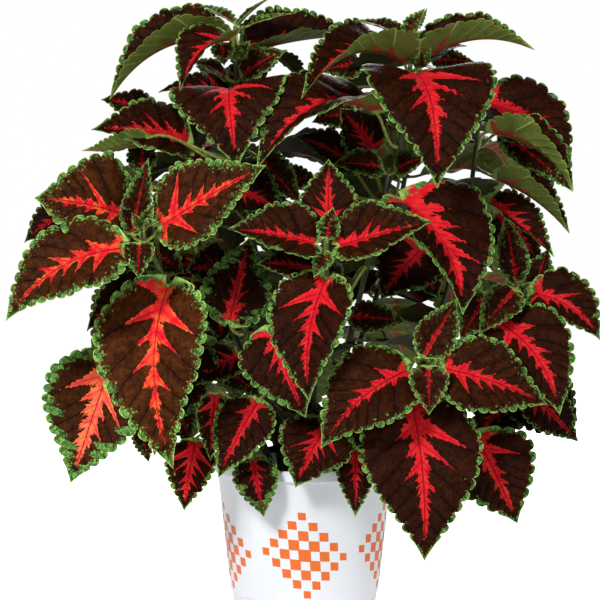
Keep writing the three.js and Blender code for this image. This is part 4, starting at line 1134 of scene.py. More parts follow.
def margin_colours(tree, leaf, inner, sizes):
    """Greens of the lobes over the rest of the blade, red in the notches between them, and a painted
    highlight: the pale line along the very edge."""
    lighter = add(
        tree, "ShaderNodeMath", [(leaf["cell"], "Green"), 0.7, leaf["wobble"]], operation="MULTIPLY_ADD"
    )
    lightest = add(tree, "ShaderNodeMapRange", {0: lighter, 1: 0.45, 2: 1.15})
    greens = add(
        tree, "ShaderNodeMix", {0: lightest, 6: colour("#22461C"), 7: [*sizes.margin_colour, 1]},
        data_type="RGBA",
    )
    green = add(
        tree, "ShaderNodeMix", {0: leaf["lane"], 6: colour("#16220E"), 7: (greens, 2)}, data_type="RGBA"
    )
    lobes = green_lobes(tree, leaf)
    greened = add(tree, "ShaderNodeMix", {0: lobes, 6: (inner, 2), 7: (green, 2)}, data_type="RGBA")
    notch = add(tree, "ShaderNodeMapRange", {0: (leaf["margin"], "Z"), 1: 0.55, 2: 0.2})
    near = add(tree, "ShaderNodeMapRange", {0: (leaf["blade"], "Z"), 1: 3.4, 2: 2.0})
    dot = add(tree, "ShaderNodeMath", [notch, near], operation="MULTIPLY")
    rare = add(tree, "ShaderNodeMapRange", {0: (leaf["cell"], "Blue"), 1: 0.5, 2: 0.9, 3: 0.0, 4: 0.7})
    dots = add(tree, "ShaderNodeMath", [dot, rare], operation="MULTIPLY")
    dotted = add(
        tree, "ShaderNodeMix", {0: dots, 6: (greened, 2), 7: colour("#C02C1A")}, data_type="RGBA"
    )
    # painted highlight: a pale line along the very edge, stronger in some stretches than in others
    highlight_strength = add(tree, "ShaderNodeMapRange", {0: leaf["wobble"], 1: 0.35, 2: 0.6, 3: 0.15, 4: 0.9})
    rim = add(tree, "ShaderNodeMapRange", {0: (leaf["blade"], "Z"), 1: 0.9, 2: 0.3, 3: 0.0, 4: highlight_strength})
    return add(tree, "ShaderNodeMix", {0: rim, 6: (dotted, 2), 7: colour("#A8C868")}, data_type="RGBA")


def dimmed(tree, tint):
    """A colour times the "shade" value on the mesh, as (node, output): painted light and shade on the
    leaves and their stalks, the paler green of young tips on the stems.
    """
    shade = add(tree, "ShaderNodeAttribute", attribute_name="shade")
    product = add(tree, "ShaderNodeVectorMath", [(tint, 2), (shade, "Vector")], operation="MULTIPLY")
    return product, 0


def leaf_upper(sizes):
    """Coleus leaf, upper face: dark brown blade with painted shade towards its veins, a red flare along
    the veins, green lobes cut by dark veinlets with a painted highlight along the edge, and the
    leaf's painted light and shade over it all; a soft satin surface that catches pale highlights on
    its quilting."""
    material, tree, shader = new_material("coleus_leaf_upper")
    leaf = leaf_pattern(tree)
    leaf["lane"] = add(tree, "ShaderNodeMapRange", {0: leaf["net"], 1: 0.02, 2: 0.2, 3: 0.5, 4: 1.0})
    leaf["wobble"] = add(
        tree, "ShaderNodeTexNoise", {"Vector": leaf["surface"], "Scale": 0.25, "Detail": 2.0}
    )
    cloud = add(tree, "ShaderNodeTexNoise", {"Vector": leaf["surface"], "Scale": 0.06, "Detail": 3.0})
    blade = dark_blade(tree, leaf, cloud)
    whole = margin_colours(tree, leaf, red_flare(tree, leaf, blade, sizes), sizes)
    shine = add(tree, "ShaderNodeMapRange", {0: cloud, 3: 0.42, 4: 0.58})
    # the leaf's colours times its painted light and shade
    complete_shader(tree, shader, dimmed(tree, whole), shine, 0.04, (leaf_relief(tree, leaf), 1.0, 0.0009))
    return material


def leaf_under():
    """Coleus leaf, lower face: olive green, the flare showing through as brick red beside a pale
    midrib; duller than the upper face because of its fine hairs."""
    material, tree, shader = new_material("coleus_leaf_under")
    leaf = leaf_pattern(tree)
    cloud = add(tree, "ShaderNodeTexNoise", {"Vector": leaf["surface"], "Scale": 0.08, "Detail": 3.0})
    net = add(tree, "ShaderNodeMapRange", {0: leaf["net"], 1: 0.0, 2: 0.1, 3: 0.5, 4: 0.0})
    through = add(tree, "ShaderNodeMapRange", {0: leaf["over"], 1: 0.0, 2: 0.12, 3: 0.0, 4: 0.9})
    rim = add(tree, "ShaderNodeMapRange", {0: (leaf["blade"], "Z"), 1: 1.6, 2: 0.5})
    shown = add(
        tree, "ShaderNodeMix", {0: net, 6: colour("#8E2420"), 7: colour("#E0562E")}, data_type="RGBA"
    )
    tint = add(
        tree, "ShaderNodeMix", {0: cloud, 6: colour("#4A5A22"), 7: colour("#7C8A38")}, data_type="RGBA"
    )
    for share, over in (
        (net, colour("#2F4020")), (leaf["lateral"], colour("#9CA85C")), (through, (shown, 2)),
        (leaf["midline"], colour("#B07A64")), (rim, colour("#8DAE4E")),
    ):
        tint = add(tree, "ShaderNodeMix", {0: share, 6: (tint, 2), 7: over}, data_type="RGBA")
    # the leaf's colours times its painted light and shade
    complete_shader(tree, shader, dimmed(tree, tint), 0.65, 0.2, (leaf_relief(tree, leaf), -0.8, 0.0009))
    return material


def green_stem(name, low, high, grain):
    """Herbaceous stem or leaf stalk: green, darker in places, with faint ribs."""
    material, tree, shader = new_material(name)
    where = add(tree, "ShaderNodeTexCoord")
    streak = add(
        tree, "ShaderNodeVectorMath", [(where, "Object"), (grain, grain, grain / 8)], operation="MULTIPLY"
    )
    noise = add(tree, "ShaderNodeTexNoise", {"Vector": streak, "Scale": 1.0, "Detail": 3.0})
    sharp = add(tree, "ShaderNodeMapRange", {0: noise, 1: 0.35, 2: 0.65})
    tint = add(tree, "ShaderNodeMix", {0: sharp, 6: low, 7: high}, data_type="RGBA")
    # times the mesh's shade value: painted light and shade on leaf stalks, paler young tips on stems
    complete_shader(tree, shader, dimmed(tree, tint), 0.5, relief=(noise, 0.3, 0.0004))
    return material


def potting_mix():
    """Peat potting mix: dark, matt and crumbly, with paler fibres."""
    material, tree, shader = new_material("peat_potting_mix")
    where = add(tree, "ShaderNodeTexCoord")
    noise = add(
        tree, "ShaderNodeTexNoise", {"Vector": (where, "Object"), "Scale": 180.0, "Detail": 5.0}
    )
    sharp = add(tree, "ShaderNodeMapRange", {0: noise, 1: 0.35, 2: 0.7})
    tint = add(
        tree, "ShaderNodeMix", {0: sharp, 6: colour("#1A110B"), 7: colour("#4A3524")}, data_type="RGBA"
    )
    complete_shader(tree, shader, (tint, 2), 0.95, relief=(noise, 0.9, 0.002))
    return material


def moulded_plastic(name, tint, roughness):
    """Injection-moulded polypropylene: a soft sheen over a very fine, even grain."""
    material, tree, shader = new_material(name)
    where = add(tree, "ShaderNodeTexCoord")
    grain, drift = (
        add(tree, "ShaderNodeTexNoise", {"Vector": (where, "Object"), "Scale": scale, "Detail": 2.0})
        for scale in (900.0, 9.0)
    )
    darker = [c * 0.95 for c in tint] + [1.0]
    base = add(tree, "ShaderNodeMix", {0: drift, 6: darker, 7: [*tint, 1]}, data_type="RGBA")
    shine = add(tree, "ShaderNodeMapRange", {0: drift, 3: roughness - 0.05, 4: roughness + 0.05})
    complete_shader(tree, shader, (base, 2), shine, relief=(grain, 0.08, 0.0003))
    return material


def studio_white():
    """Matt white studio paper, lit evenly wherever no shadow falls."""
    material, tree, shader = new_material("studio_paper")
    where = add(tree, "ShaderNodeTexCoord")
    fibre = add(
        tree, "ShaderNodeTexNoise", {"Vector": (where, "Object"), "Scale": 400.0, "Detail": 2.0}
    )
    base = add(
        tree, "ShaderNodeMix", {0: fibre, 6: colour("#F7F7F7"), 7: colour("#FFFFFF")}, data_type="RGBA"
    )
    complete_shader(tree, shader, (base, 2), 0.9, 0.0)
    shader.inputs["Emission Color"].default_value = colour("#FFFFFF")
    seen = add(tree, "ShaderNodeLightPath")
    glow = add(tree, "ShaderNodeMath", [(seen, "Is Camera Ray"), 0.85], operation="MULTIPLY")
    tree.links.new(glow.outputs[0], shader.inputs["Emission Strength"])
    return material


# Pieces ---------------------------------------------------------------------------------------


def wall_radius(z):
    """Outer radius of the pot's wall at a height."""
    return POT_LEDGE_RADIUS + POT_TAPER * (z - POT_LEDGE_Z)


def turn_profile(name, profile, segments):
    """A closed body turned round the pot's axis, from a profile that starts and ends on it."""
    inner = np.array(profile[1:-1], float)
    angles = np.linspace(0, 2 * math.pi, segments, endpoint=False)
    ring = np.stack([np.cos(angles), np.sin(angles)], 1)
    points = [np.array([[0, 0, profile[0][1]]])]
    points += [np.column_stack([ring * r, np.full(segments, z)]) for r, z in inner]
    points.append(np.array([[0, 0, profile[-1][1]]]))
    faces = []
    for j in range(segments):
        k = (j + 1) % segments
        faces.append((0, 1 + k, 1 + j))
        for i in range(len(inner) - 1):
            low, high = 1 + i * segments, 1 + (i + 1) * segments
            faces.append((low + j, low + k, high + k, high + j))
        top = 1 + (len(inner) - 1) * segments
        faces.append((top + j, top + k, 1 + len(inner) * segments))
    mesh = make_mesh(name, np.vstack(points), faces, [0] * len(faces), {})
    mesh.shade_smooth()
    mesh.set_sharp_from_angle(angle=math.radians(SHARP_ANGLE))
    return mesh


def evaluated(mesh, modifiers, cutter=None):
    """The mesh after modifiers, which `modifiers` adds to a helper object."""
    helper = bpy.data.objects.new("helper", mesh)
    bpy.context.scene.collection.objects.link(helper)
    modifiers(helper)
    graph = bpy.context.evaluated_depsgraph_get()
    result = bpy.data.meshes.new_from_object(helper.evaluated_get(graph), depsgraph=graph)
    bpy.data.objects.remove(helper)
    if cutter:
        bpy.data.objects.remove(cutter)
    return result


def run_tree(mesh, tree, inputs):
    """The mesh after a geometry node tree, with its named inputs set."""
    sockets = {s.name: s.identifier for s in tree.interface.items_tree if s.in_out == "INPUT"}

    def modifiers(helper):
        modifier = helper.modifiers.new(tree.name, "NODES")
        modifier.node_group = tree
        for key, value in inputs.items():
            modifier[sockets[key]] = value

    return evaluated(mesh, modifiers)


def new_tree(name, inputs):
    """A geometry node tree with named inputs: (name, kind, default)."""
    tree = bpy.data.node_groups.new(name, "GeometryNodeTree")
    tree.interface.new_socket("Geometry", in_out="INPUT", socket_type="NodeSocketGeometry")
    tree.interface.new_socket("Geometry", in_out="OUTPUT", socket_type="NodeSocketGeometry")
    for key, kind, default in inputs:
        socket = tree.interface.new_socket(key, in_out="INPUT", socket_type="NodeSocket" + kind)
        if default is not None:
            socket.default_value = default
    return tree, add(tree, "NodeGroupInput")


def make_pot(sizes):
    """The pot's wall, band, foot, floor and drainage holes."""
    band = POT_HEIGHT - POT_BAND_HEIGHT
    inner_floor = POT_FOOT_RADIUS - POT_WALL
    lip = POT_BAND_RADIUS
    profile = [
        (0, 0), (POT_FOOT_RADIUS - 3, 0), (POT_FOOT_RADIUS - 1.7, 0.35), (POT_FOOT_RADIUS - 0.6, 1.2),
        (POT_FOOT_RADIUS - 0.05, 2.6), (wall_radius(POT_LEDGE_Z) - 1.2, POT_LEDGE_Z - 1.2),
        (wall_radius(POT_LEDGE_Z) - 0.6, POT_LEDGE_Z - 0.7), (wall_radius(POT_LEDGE_Z), POT_LEDGE_Z),
        (wall_radius(POT_LEDGE_Z + 0.8), POT_LEDGE_Z + 0.8), (wall_radius(POT_MIDDLE_Z), POT_MIDDLE_Z),
        (wall_radius(band - 1), band - 1), (wall_radius(band) + 0.3, band - 0.1), (lip - 0.7, band + 0.2),
        (lip - 0.15, band + 0.7), (lip, band + 1.6), (lip, POT_HEIGHT - 1.6),
        (lip - 0.25, POT_HEIGHT - 0.6), (lip - 1, POT_HEIGHT), (lip - 2.4, POT_HEIGHT),
        (lip - 3.2, POT_HEIGHT - 0.5), (wall_radius(band) - POT_WALL, band),
        (wall_radius(POT_MIDDLE_Z) - POT_WALL, POT_MIDDLE_Z),
        (wall_radius(POT_LEDGE_Z) - POT_WALL - 1, POT_LEDGE_Z),
        (inner_floor, 3), (inner_floor - 2, POT_WALL), (0, POT_WALL),
    ]
    body = turn_profile("pot_body", profile, sizes.pot_segments)
    drills = []
    far = DRAIN_HOLE_CIRCLE * MM
    for i in range(DRAIN_HOLES):
        angle = 2 * math.pi * i / DRAIN_HOLES
        bpy.ops.mesh.primitive_cylinder_add(
            vertices=32, radius=DRAIN_HOLE_RADIUS * MM, depth=8 * MM,
            location=(far * math.cos(angle), far * math.sin(angle), 0),
        )
        drills.append(bpy.context.object)
    with bpy.context.temp_override(active_object=drills[0], selected_editable_objects=drills):
        bpy.ops.object.join()
    drill = drills[0]

    def modifiers(helper):
        cut = helper.modifiers.new("drainage", "BOOLEAN")
        cut.operation, cut.object, cut.solver = "DIFFERENCE", drill, "EXACT"

    mesh = evaluated(body, modifiers, cutter=drill)
    plastic = moulded_plastic("white_polypropylene", sizes.pot_colour, 0.32)
    place("nursery_pot", mesh, [plastic], ["pot"])


def bent_round_wall(tree, source, flat):
    """Flat shapes bent to the pot: x runs round its wall, y up it and z outwards."""
    position = add(tree, "GeometryNodeInputPosition")
    x, y, z = ((add(tree, "ShaderNodeSeparateXYZ", [position]), axis) for axis in "XYZ")
    angle = add(tree, "ShaderNodeMath", [x, (source, "Wall radius")], operation="DIVIDE")
    outward = add(tree, "ShaderNodeMath", [z, (source, "Proud")], operation="ADD")
    slope = add(tree, "ShaderNodeMath", [y, (source, "Taper")], operation="MULTIPLY")
    radius = add(tree, "ShaderNodeMath", [outward, slope], operation="ADD")
    far = add(tree, "ShaderNodeMath", [radius, (source, "Wall radius")], operation="ADD")
    sine = add(tree, "ShaderNodeMath", [angle], operation="SINE")
    cosine = add(tree, "ShaderNodeMath", [angle], operation="COSINE")
    east = add(tree, "ShaderNodeMath", [sine, far], operation="MULTIPLY")
    north = add(tree, "ShaderNodeMath", [cosine, far], operation="MULTIPLY")
    front = add(tree, "ShaderNodeMath", [north, -1.0], operation="MULTIPLY")
    up = add(tree, "ShaderNodeMath", [y, (source, "Height")], operation="ADD")
    bent_at = add(tree, "ShaderNodeCombineXYZ", [east, front, up])
    return add(tree, "GeometryNodeSetPosition", {"Geometry": flat, "Position": bent_at})


def print_tree():
    """Small lozenges in a large one, smaller towards its corners, repeated round the pot's wall."""
    tree, source = new_tree(
        "Pot print",
        [
            ("Lozenge", "Float", 0.0128), ("Pitch", "Float", 0.0128), ("Rows", "Int", 5),
            ("Repeats", "Int", 5), ("Height", "Float", 0.06), ("Wall radius", "Float", 0.08),
            ("Taper", "Float", 0.11), ("Proud", "Float", 0.0001), ("Ink", "Material", None),
            ("Second ink", "Material", None), ("Fade", "Float", 0.055),
        ],
    )

    def motif(scale, lift, ink):
        """One lozenge, with its size as a share of the middle one's."""
        shape = add(tree, "GeometryNodeMeshCircle", {"Vertices": 4, "Radius": 1.0}, fill_type="NGON")
        side = add(tree, "ShaderNodeMath", [(source, "Lozenge"), scale], operation="MULTIPLY")
        size = add(tree, "ShaderNodeCombineXYZ", [side, side, 1.0])
        scaled = add(tree, "GeometryNodeTransform", {"Geometry": shape, "Scale": size})
        moved = add(tree, "GeometryNodeTransform", {"Geometry": scaled, "Translation": (0, 0, lift)})
        return add(tree, "GeometryNodeSetMaterial", {"Geometry": moved, "Material": (source, ink)})

    span = add(tree, "ShaderNodeMath", [(source, "Rows"), -1.0], operation="ADD")
    width = add(tree, "ShaderNodeMath", [span, (source, "Pitch")], operation="MULTIPLY")
    grid = add(
        tree, "GeometryNodeMeshGrid",
        {
            "Size X": width, "Size Y": width,
            "Vertices X": (source, "Rows"), "Vertices Y": (source, "Rows"),
        },
    )
    both = add(tree, "GeometryNodeJoinGeometry")
    for part in (motif(0.62, 0.0, "Ink"), motif(0.3, 0.00008, "Second ink")):
        tree.links.new(part.outputs[0], both.inputs[0])
    spot = add(tree, "ShaderNodeVectorMath", [add(tree, "GeometryNodeInputPosition")], operation="LENGTH")
    graded = add(
        tree, "ShaderNodeMapRange", {0: (spot, "Value"), 1: 0.0, 2: (source, "Fade"), 3: 1.0, 4: 0.4}
    )
    stamped = add(
        tree, "GeometryNodeInstanceOnPoints",
        {"Points": (grid, "Mesh"), "Instance": both, "Scale": graded},
    )
    square = add(tree, "GeometryNodeRealizeInstances", [stamped])
    tall = add(
        tree, "GeometryNodeTransform",
        {"Geometry": square, "Rotation": (0, 0, math.pi / 4), "Scale": (1, 1.15, 1)},
    )
    turn = add(tree, "ShaderNodeMath", [2 * math.pi, (source, "Repeats")], operation="DIVIDE")
    row = add(tree, "GeometryNodeMeshLine", {"Count": (source, "Repeats")})
    index = add(tree, "GeometryNodeInputIndex")
    way = add(tree, "ShaderNodeMath", [index, turn], operation="MULTIPLY")
    run = add(tree, "ShaderNodeMath", [way, (source, "Wall radius")], operation="MULTIPLY")
    start = add(tree, "ShaderNodeCombineXYZ", [run, 0.0, 0.0])
    line = add(tree, "GeometryNodeSetPosition", {"Geometry": (row, "Mesh"), "Position": start})
    repeated = add(tree, "GeometryNodeInstanceOnPoints", {"Points": line, "Instance": tall})
    flat = add(tree, "GeometryNodeRealizeInstances", [repeated])
    fine = add(tree, "GeometryNodeSubdivideMesh", {"Mesh": flat, "Level": 3})
    final = add(tree, "GeometryNodeRealizeInstances", [bent_round_wall(tree, source, fine)])
    add(tree, "NodeGroupOutput", [final])
    return tree


def make_print(sizes):
    """The ink design on the pot's wall."""
    ink = moulded_plastic("orange_ink", sizes.ink_colour, 0.35)
    pale = moulded_plastic("white_ink", colour("#FBE3CC")[:3], 0.35)
    inputs = {
        "Lozenge": sizes.print_lozenge, "Repeats": sizes.print_repeats, "Height": PRINT_MIDDLE * MM,
        "Wall radius": wall_radius(PRINT_MIDDLE) * MM, "Taper": POT_TAPER, "Ink": ink,
        "Second ink": pale,
    }
    mesh = run_tree(bpy.data.meshes.new("print"), print_tree(), inputs)
    mesh.materials.clear()
    place("pot_print", mesh, [ink, pale])


def soil_tree():
    """Crumbs of mix scattered over the upward faces of the soil."""
    tree, source = new_tree(
        "Soil crumbs",
        [
            ("Density", "Float", 60000.0), ("Smallest", "Float", 0.0012), ("Largest", "Float", 0.0038),
            ("Reach", "Float", 0.08), ("Seed", "Int", SEED), ("Mix", "Material", None),
        ],
    )
    normal = add(tree, "GeometryNodeInputNormal")
    upward = add(tree, "ShaderNodeSeparateXYZ", [normal])
    where = add(tree, "GeometryNodeInputPosition")
    flat = add(tree, "ShaderNodeVectorMath", [where, (1, 1, 0)], operation="MULTIPLY")
    radius = add(tree, "ShaderNodeVectorMath", [flat], operation="LENGTH")
    near = add(
        tree, "FunctionNodeCompare", {0: (radius, "Value"), 1: (source, "Reach")}, operation="LESS_THAN"
    )
    height = add(tree, "ShaderNodeSeparateXYZ", [where])
    high = add(tree, "FunctionNodeCompare", {0: (height, "Z"), 1: 0.1}, operation="GREATER_THAN")
    facing = add(tree, "FunctionNodeCompare", {0: (upward, "Z"), 1: 0.6}, operation="GREATER_THAN")
    raised = add(tree, "FunctionNodeBooleanMath", [high, facing], operation="AND")
    top = add(tree, "FunctionNodeBooleanMath", [raised, near], operation="AND")
    points = add(
        tree, "GeometryNodeDistributePointsOnFaces",
        {
            "Mesh": (source, "Geometry"), "Selection": top, "Density": (source, "Density"),
            "Seed": (source, "Seed"),
        },
    )
    crumb = add(tree, "GeometryNodeMeshIcoSphere", {"Radius": 1.0, "Subdivisions": 1})
    size = add(
        tree, "FunctionNodeRandomValue",
        {2: (source, "Smallest"), 3: (source, "Largest"), "Seed": (source, "Seed")}, data_type="FLOAT",
    )
    spin = add(
        tree, "FunctionNodeRandomValue",
        {0: (0, 0, 0), 1: (6.3, 6.3, 6.3), "Seed": (source, "Seed")}, data_type="FLOAT_VECTOR",
    )
    stamped = add(
        tree, "GeometryNodeInstanceOnPoints",
        {"Points": points, "Instance": (crumb, "Mesh"), "Scale": (size, 1), "Rotation": spin},
    )
    joined = add(tree, "GeometryNodeJoinGeometry")
    tree.links.new(source.outputs["Geometry"], joined.inputs[0])
    tree.links.new(stamped.outputs[0], joined.inputs[0])
    real = add(tree, "GeometryNodeRealizeInstances", [joined])
    mixed = add(tree, "GeometryNodeSetMaterial", {"Geometry": real, "Material": (source, "Mix")})
    add(tree, "NodeGroupOutput", [mixed])
    return tree


def make_soil(sizes):
    """The potting mix: a body that fills the pot, with crumbs on top."""
    gap = POT_WALL + SEAT_GAP
    edge = wall_radius(SOIL_TOP) - gap
    profile = [(0, gap), (POT_FOOT_RADIUS - 3.8, gap), (POT_FOOT_RADIUS - 1.7, 3.3)]
    profile += [(wall_radius(POT_LEDGE_Z) - gap - 1.3, POT_LEDGE_Z + 1)]
    profile += [(edge - 0.3, SOIL_TOP - 4)]
    crumbs_edge = edge - 4.2  # no crumb reaches the wall
    profile += [(r, SOIL_TOP - 2.2) for r in (edge - 1, *np.linspace(crumbs_edge, 8, 15))]
    profile += [(0, SOIL_TOP - 2.2)]
    mesh = turn_profile("soil_body", profile, SOIL_SEGMENTS)
    dice = np.random.default_rng(SEED)
    for vertex in mesh.vertices:
        if vertex.co.z > (SOIL_TOP - 3) * MM:
            vertex.co.z += dice.uniform(-1, 1) * MM
    mix = potting_mix()
    inputs = {"Density": sizes.crumb_density, "Reach": crumbs_edge * MM, "Mix": mix}
    mesh = run_tree(mesh, soil_tree(), inputs)
    mesh.materials.clear()
    place("potting_mix", mesh, [mix], ["soil"])


def stem_tree():
    """A four-sided stem with rounded edges along each line of points."""
    tree, source = new_tree("Square stems", [("Roundness", "Float", 0.55), ("Skin", "Material", None)])
    radius = add(tree, "GeometryNodeInputNamedAttribute", {"Name": "radius"}, data_type="FLOAT")
    curve = add(tree, "GeometryNodeMeshToCurve", {"Mesh": (source, "Geometry")})
    sized = add(tree, "GeometryNodeSetCurveRadius", {"Curve": curve, "Radius": radius})
    square = add(
        tree, "GeometryNodeCurvePrimitiveQuadrilateral", {"Width": 1.8, "Height": 1.8}, mode="RECTANGLE"
    )
    rounded = add(
        tree, "GeometryNodeFilletCurve",
        {"Curve": square, "Radius": (source, "Roundness"), "Count": 3}, mode="POLY",
    )
    tube = add(
        tree, "GeometryNodeCurveToMesh", {"Curve": sized, "Profile Curve": rounded, "Fill Caps": True}
    )
    if "Scale" in tube.inputs:
        tree.links.new(radius.outputs[0], tube.inputs["Scale"])
    smooth = add(tree, "GeometryNodeSetShadeSmooth", [tube])
    real = add(tree, "GeometryNodeRealizeInstances", [smooth])
    skinned = add(tree, "GeometryNodeSetMaterial", {"Geometry": real, "Material": (source, "Skin")})
    add(tree, "NodeGroupOutput", [skinned])
    return tree


def make_stems(sizes):
    """The square stems, with a swelling where each pair of leaves leaves them."""
    skin = green_stem("coleus_stem", colour("#1C2410"), [*sizes.stem_colour, 1], 500.0)
    tree = stem_tree()
    grown = leaf_rows([row[1:] for row in LEAVES], JOINED_LEAVES)
    for node, shoots in STEMS.items():
        points, edges, radii, shades = [], [], [], []
        for shoot in shoots:
            line, _, thick = PATHS[shoot]
            joints = np.array([row.height for row in grown if row.shoot == shoot])
            swell = np.exp(-(((line[:, 2:] - joints) / 5) ** 2)).max(1)
            edges += [(len(points) + i, len(points) + i + 1) for i in range(len(line) - 1)]
            points += list(line * MM)
            radii += list(thick * (0.92 + 0.16 * swell) * MM)
            young = np.clip(np.linspace(-4, 1, len(line)), 0, 1)  # paler green towards the tip
            shades += [(1 + 2 * y, 1 + 2.2 * y, 1 + 1.5 * y) for y in young]
        mesh = bpy.data.meshes.new(node)
        mesh.from_pydata([tuple(p) for p in points], edges, [])
        mesh.attributes.new("radius", "FLOAT", "POINT").data.foreach_set("value", radii)
        shade = mesh.attributes.new("shade", "FLOAT_VECTOR", "POINT")
        shade.data.foreach_set("vector", np.array(shades, np.float32).ravel())
        mesh = run_tree(mesh, tree, {"Skin": skin})
        mesh.materials.clear()
        place("square_" + node, mesh, [skin], [node])


def leaf_materials(sizes):
    """A leaf's materials: upper face, lower face and stalk."""
    stalk = green_stem("leaf_stalk", colour("#6A7A2C"), colour("#B4BE52"), 700.0)
    return [leaf_upper(sizes), leaf_under(), stalk]


def make_leaves(sizes):
    """Each leaf that is a node of its own."""
    materials = leaf_materials(sizes)
    for index, (node, *row) in enumerate(LEAVES):
        # leaves on the far side get painted half shade
        look = LEAF_LOOKS.get(node, "shaded" if "leaf_back" in node else "full")
        mesh = make_mesh(node, *Leaf(LeafRow(*row), look, index, "full").build())
        place("coleus_" + node, mesh, materials, [node])


def look_inside(row):
    """Leaves deep in the crown get the inner look, which is painted deep shade; those on its far side are
    like the ones in front, with no painted shade.
    """
    middle = leaf_samples(row)[MIDDLE_SAMPLE : MIDDLE_SAMPLE + 1]
    behind = middle[0, 1] > FAR_SIDE_Y and depth_in_crown(middle)[0] > OUTER_CROWN
    return "full" if behind else "inner"


def joined_look(row, further):
    """The look of a young leaf, or of one inside or behind; `further` if it has no solid."""
    if row.width < BUD_WIDTH:
        return "bud"
    if row.width < YOUNG_WIDTH:
        return "young"
    # leaves that only fill out the plant get painted half shade
    return "shaded" if further else look_inside(row)


def place_joined(name, parts, materials):
    """Several leaves as one piece; none if there are no leaves."""
    if parts:
        place("coleus_" + name, make_mesh(name, *join_leaves(parts)), materials)


def make_joined_leaves(sizes):
    """The young leaves at the shoots' tips and those inside and behind, one piece a shoot."""
    materials = leaf_materials(sizes)
    for shoot in SHOOTS:
        parts = []
        for index, row in enumerate(leaf_rows(JOINED_LEAVES, MORE_LEAVES)):
            if row.shoot == shoot:
                look = joined_look(row, further=index >= len(JOINED_LEAVES))
                detail = "inner" if look in ("inner", "bud") else "joined"
                parts.append(Leaf(row, look, JOINED_SEED + index, detail).build())
        place_joined("young_" + shoot, parts, materials)


def make_inner_leaves(sizes):
    """The leaves that fill the plant inside, one piece a shoot."""
    materials = leaf_materials(sizes)
    rows = grow_inner_leaves(sizes.inner_leaves)
    for shoot in SHOOTS:
        parts = [
            Leaf(row, look_inside(row), INNER_SEED + index, "inner").build()
            for index, row in enumerate(rows)
            if row.shoot == shoot
        ]
        place_joined("inner_" + shoot, parts, materials)


def aim_from(spot, target, thing):
    """Puts a lamp or a camera at a spot and turns it to face the target."""
    thing.location = spot
    way = Vector(target) - Vector(spot)
    thing.rotation_euler = way.to_track_quat("-Z", "Y").to_euler()
    bpy.context.scene.collection.objects.link(thing)


def make_stage(sizes):
    """White floor, soft light from the front and above, white surroundings and the camera."""
    bpy.ops.mesh.primitive_circle_add(
        vertices=96, radius=sizes.floor_radius, fill_type="NGON", location=(0, 0, -0.0002)
    )
    floor = bpy.context.object
    floor.name = "studio_floor"
    floor.data.materials.append(studio_white())
    scene = bpy.context.scene
    scene.view_settings.view_transform = "Standard"
    world = bpy.data.worlds.new("studio")
    scene.world = world
    world.use_nodes = True
    tree = world.node_tree
    tree.nodes.clear()
    seen = add(tree, "ShaderNodeLightPath")
    light = add(
        tree, "ShaderNodeBackground", {"Color": colour("#FFFFFF"), "Strength": sizes.sky_light}
    )
    white = add(tree, "ShaderNodeBackground", {"Color": colour("#FFFFFF"), "Strength": 1.0})
    mixed = add(tree, "ShaderNodeMixShader", [(seen, "Is Camera Ray"), light, white])
    add(tree, "ShaderNodeOutputWorld", {"Surface": mixed})
    for name, spot, size, share in LAMPS:
        lamp = bpy.data.lights.new(name, "AREA")
        lamp.shape = "DISK"
        lamp.size = size
        lamp.energy = sizes.key_power * share
        aim_from(spot, LAMP_TARGET, bpy.data.objects.new(name, lamp))
    lens = bpy.data.cameras.new("camera")
    lens.sensor_width = CAMERA_SENSOR
    lens.lens = CAMERA_LENS
    scene.camera = bpy.data.objects.new("camera", lens)
    aim_from(CAMERA_PLACE, CAMERA_TARGET, scene.camera)


# Add-on -----------------------------------------------------------------------------------------


def tint_property(name, description, tint):
    """A property for a colour of a material."""
    return FloatVectorProperty(
        name=name, description=description, subtype="COLOR", size=3, default=colour(tint)[:3], min=0, max=1
    )


class ColeusSizes(bpy.types.PropertyGroup):
    """Sizes and colours of the potted coleus that a user would change."""

    pot_segments: IntProperty(name="Pot sides", description="Sides of the turned pot", default=160, min=24)
    pot_colour: tint_property("Pot", "Colour of the moulded pot", "#EEF2F8")
    ink_colour: tint_property("Ink", "Colour of the design on the pot", "#F0701F")
    print_lozenge: FloatProperty(
        name="Lozenge", description="Size of the middle lozenge of the design", default=0.0128, min=0.002,
        unit="LENGTH",
    )
    print_repeats: IntProperty(name="Repeats", description="Designs round the pot", default=5, min=1)
    crumb_density: FloatProperty(
        name="Crumbs", description="Crumbs of potting mix to a square metre", default=60000.0, min=0
    )
    stem_colour: tint_property("Stems", "Lighter colour of the stems", "#3F4A1C")
    flare_colour: tint_property("Flare", "Colour of the red flare on a leaf", "#E2242F")
    margin_colour: tint_property("Margin", "Colour of the green lobes of a leaf", "#74A650")
    inner_leaves: IntProperty(name="Inner leaves", description="Most leaves inside", default=300, min=0)
    floor_radius: FloatProperty(
        name="Floor", description="Radius of the floor", default=6.0, min=1, unit="LENGTH"
    )
    sky_light: FloatProperty(
        name="Sky light", description="Strength of the even light", default=0.14, min=0
    )
    key_power: FloatProperty(
        name="Key light", description="Power of the key light", default=48.0, min=0, unit="POWER"
    )


class COLEUS_OT_pot(bpy.types.Operator):
    """Builds the pot's wall, band, foot, floor and drainage holes"""

    bl_idname = "coleus.pot"
    bl_label = "Pot"

    def execute(self, context):
        make_pot(context.scene.coleus_sizes)
        return {"FINISHED"}


class COLEUS_OT_print(bpy.types.Operator):
    """Builds the ink design on the pot's wall"""

    bl_idname = "coleus.print"
    bl_label = "Design on the pot"

    def execute(self, context):
        make_print(context.scene.coleus_sizes)
        return {"FINISHED"}


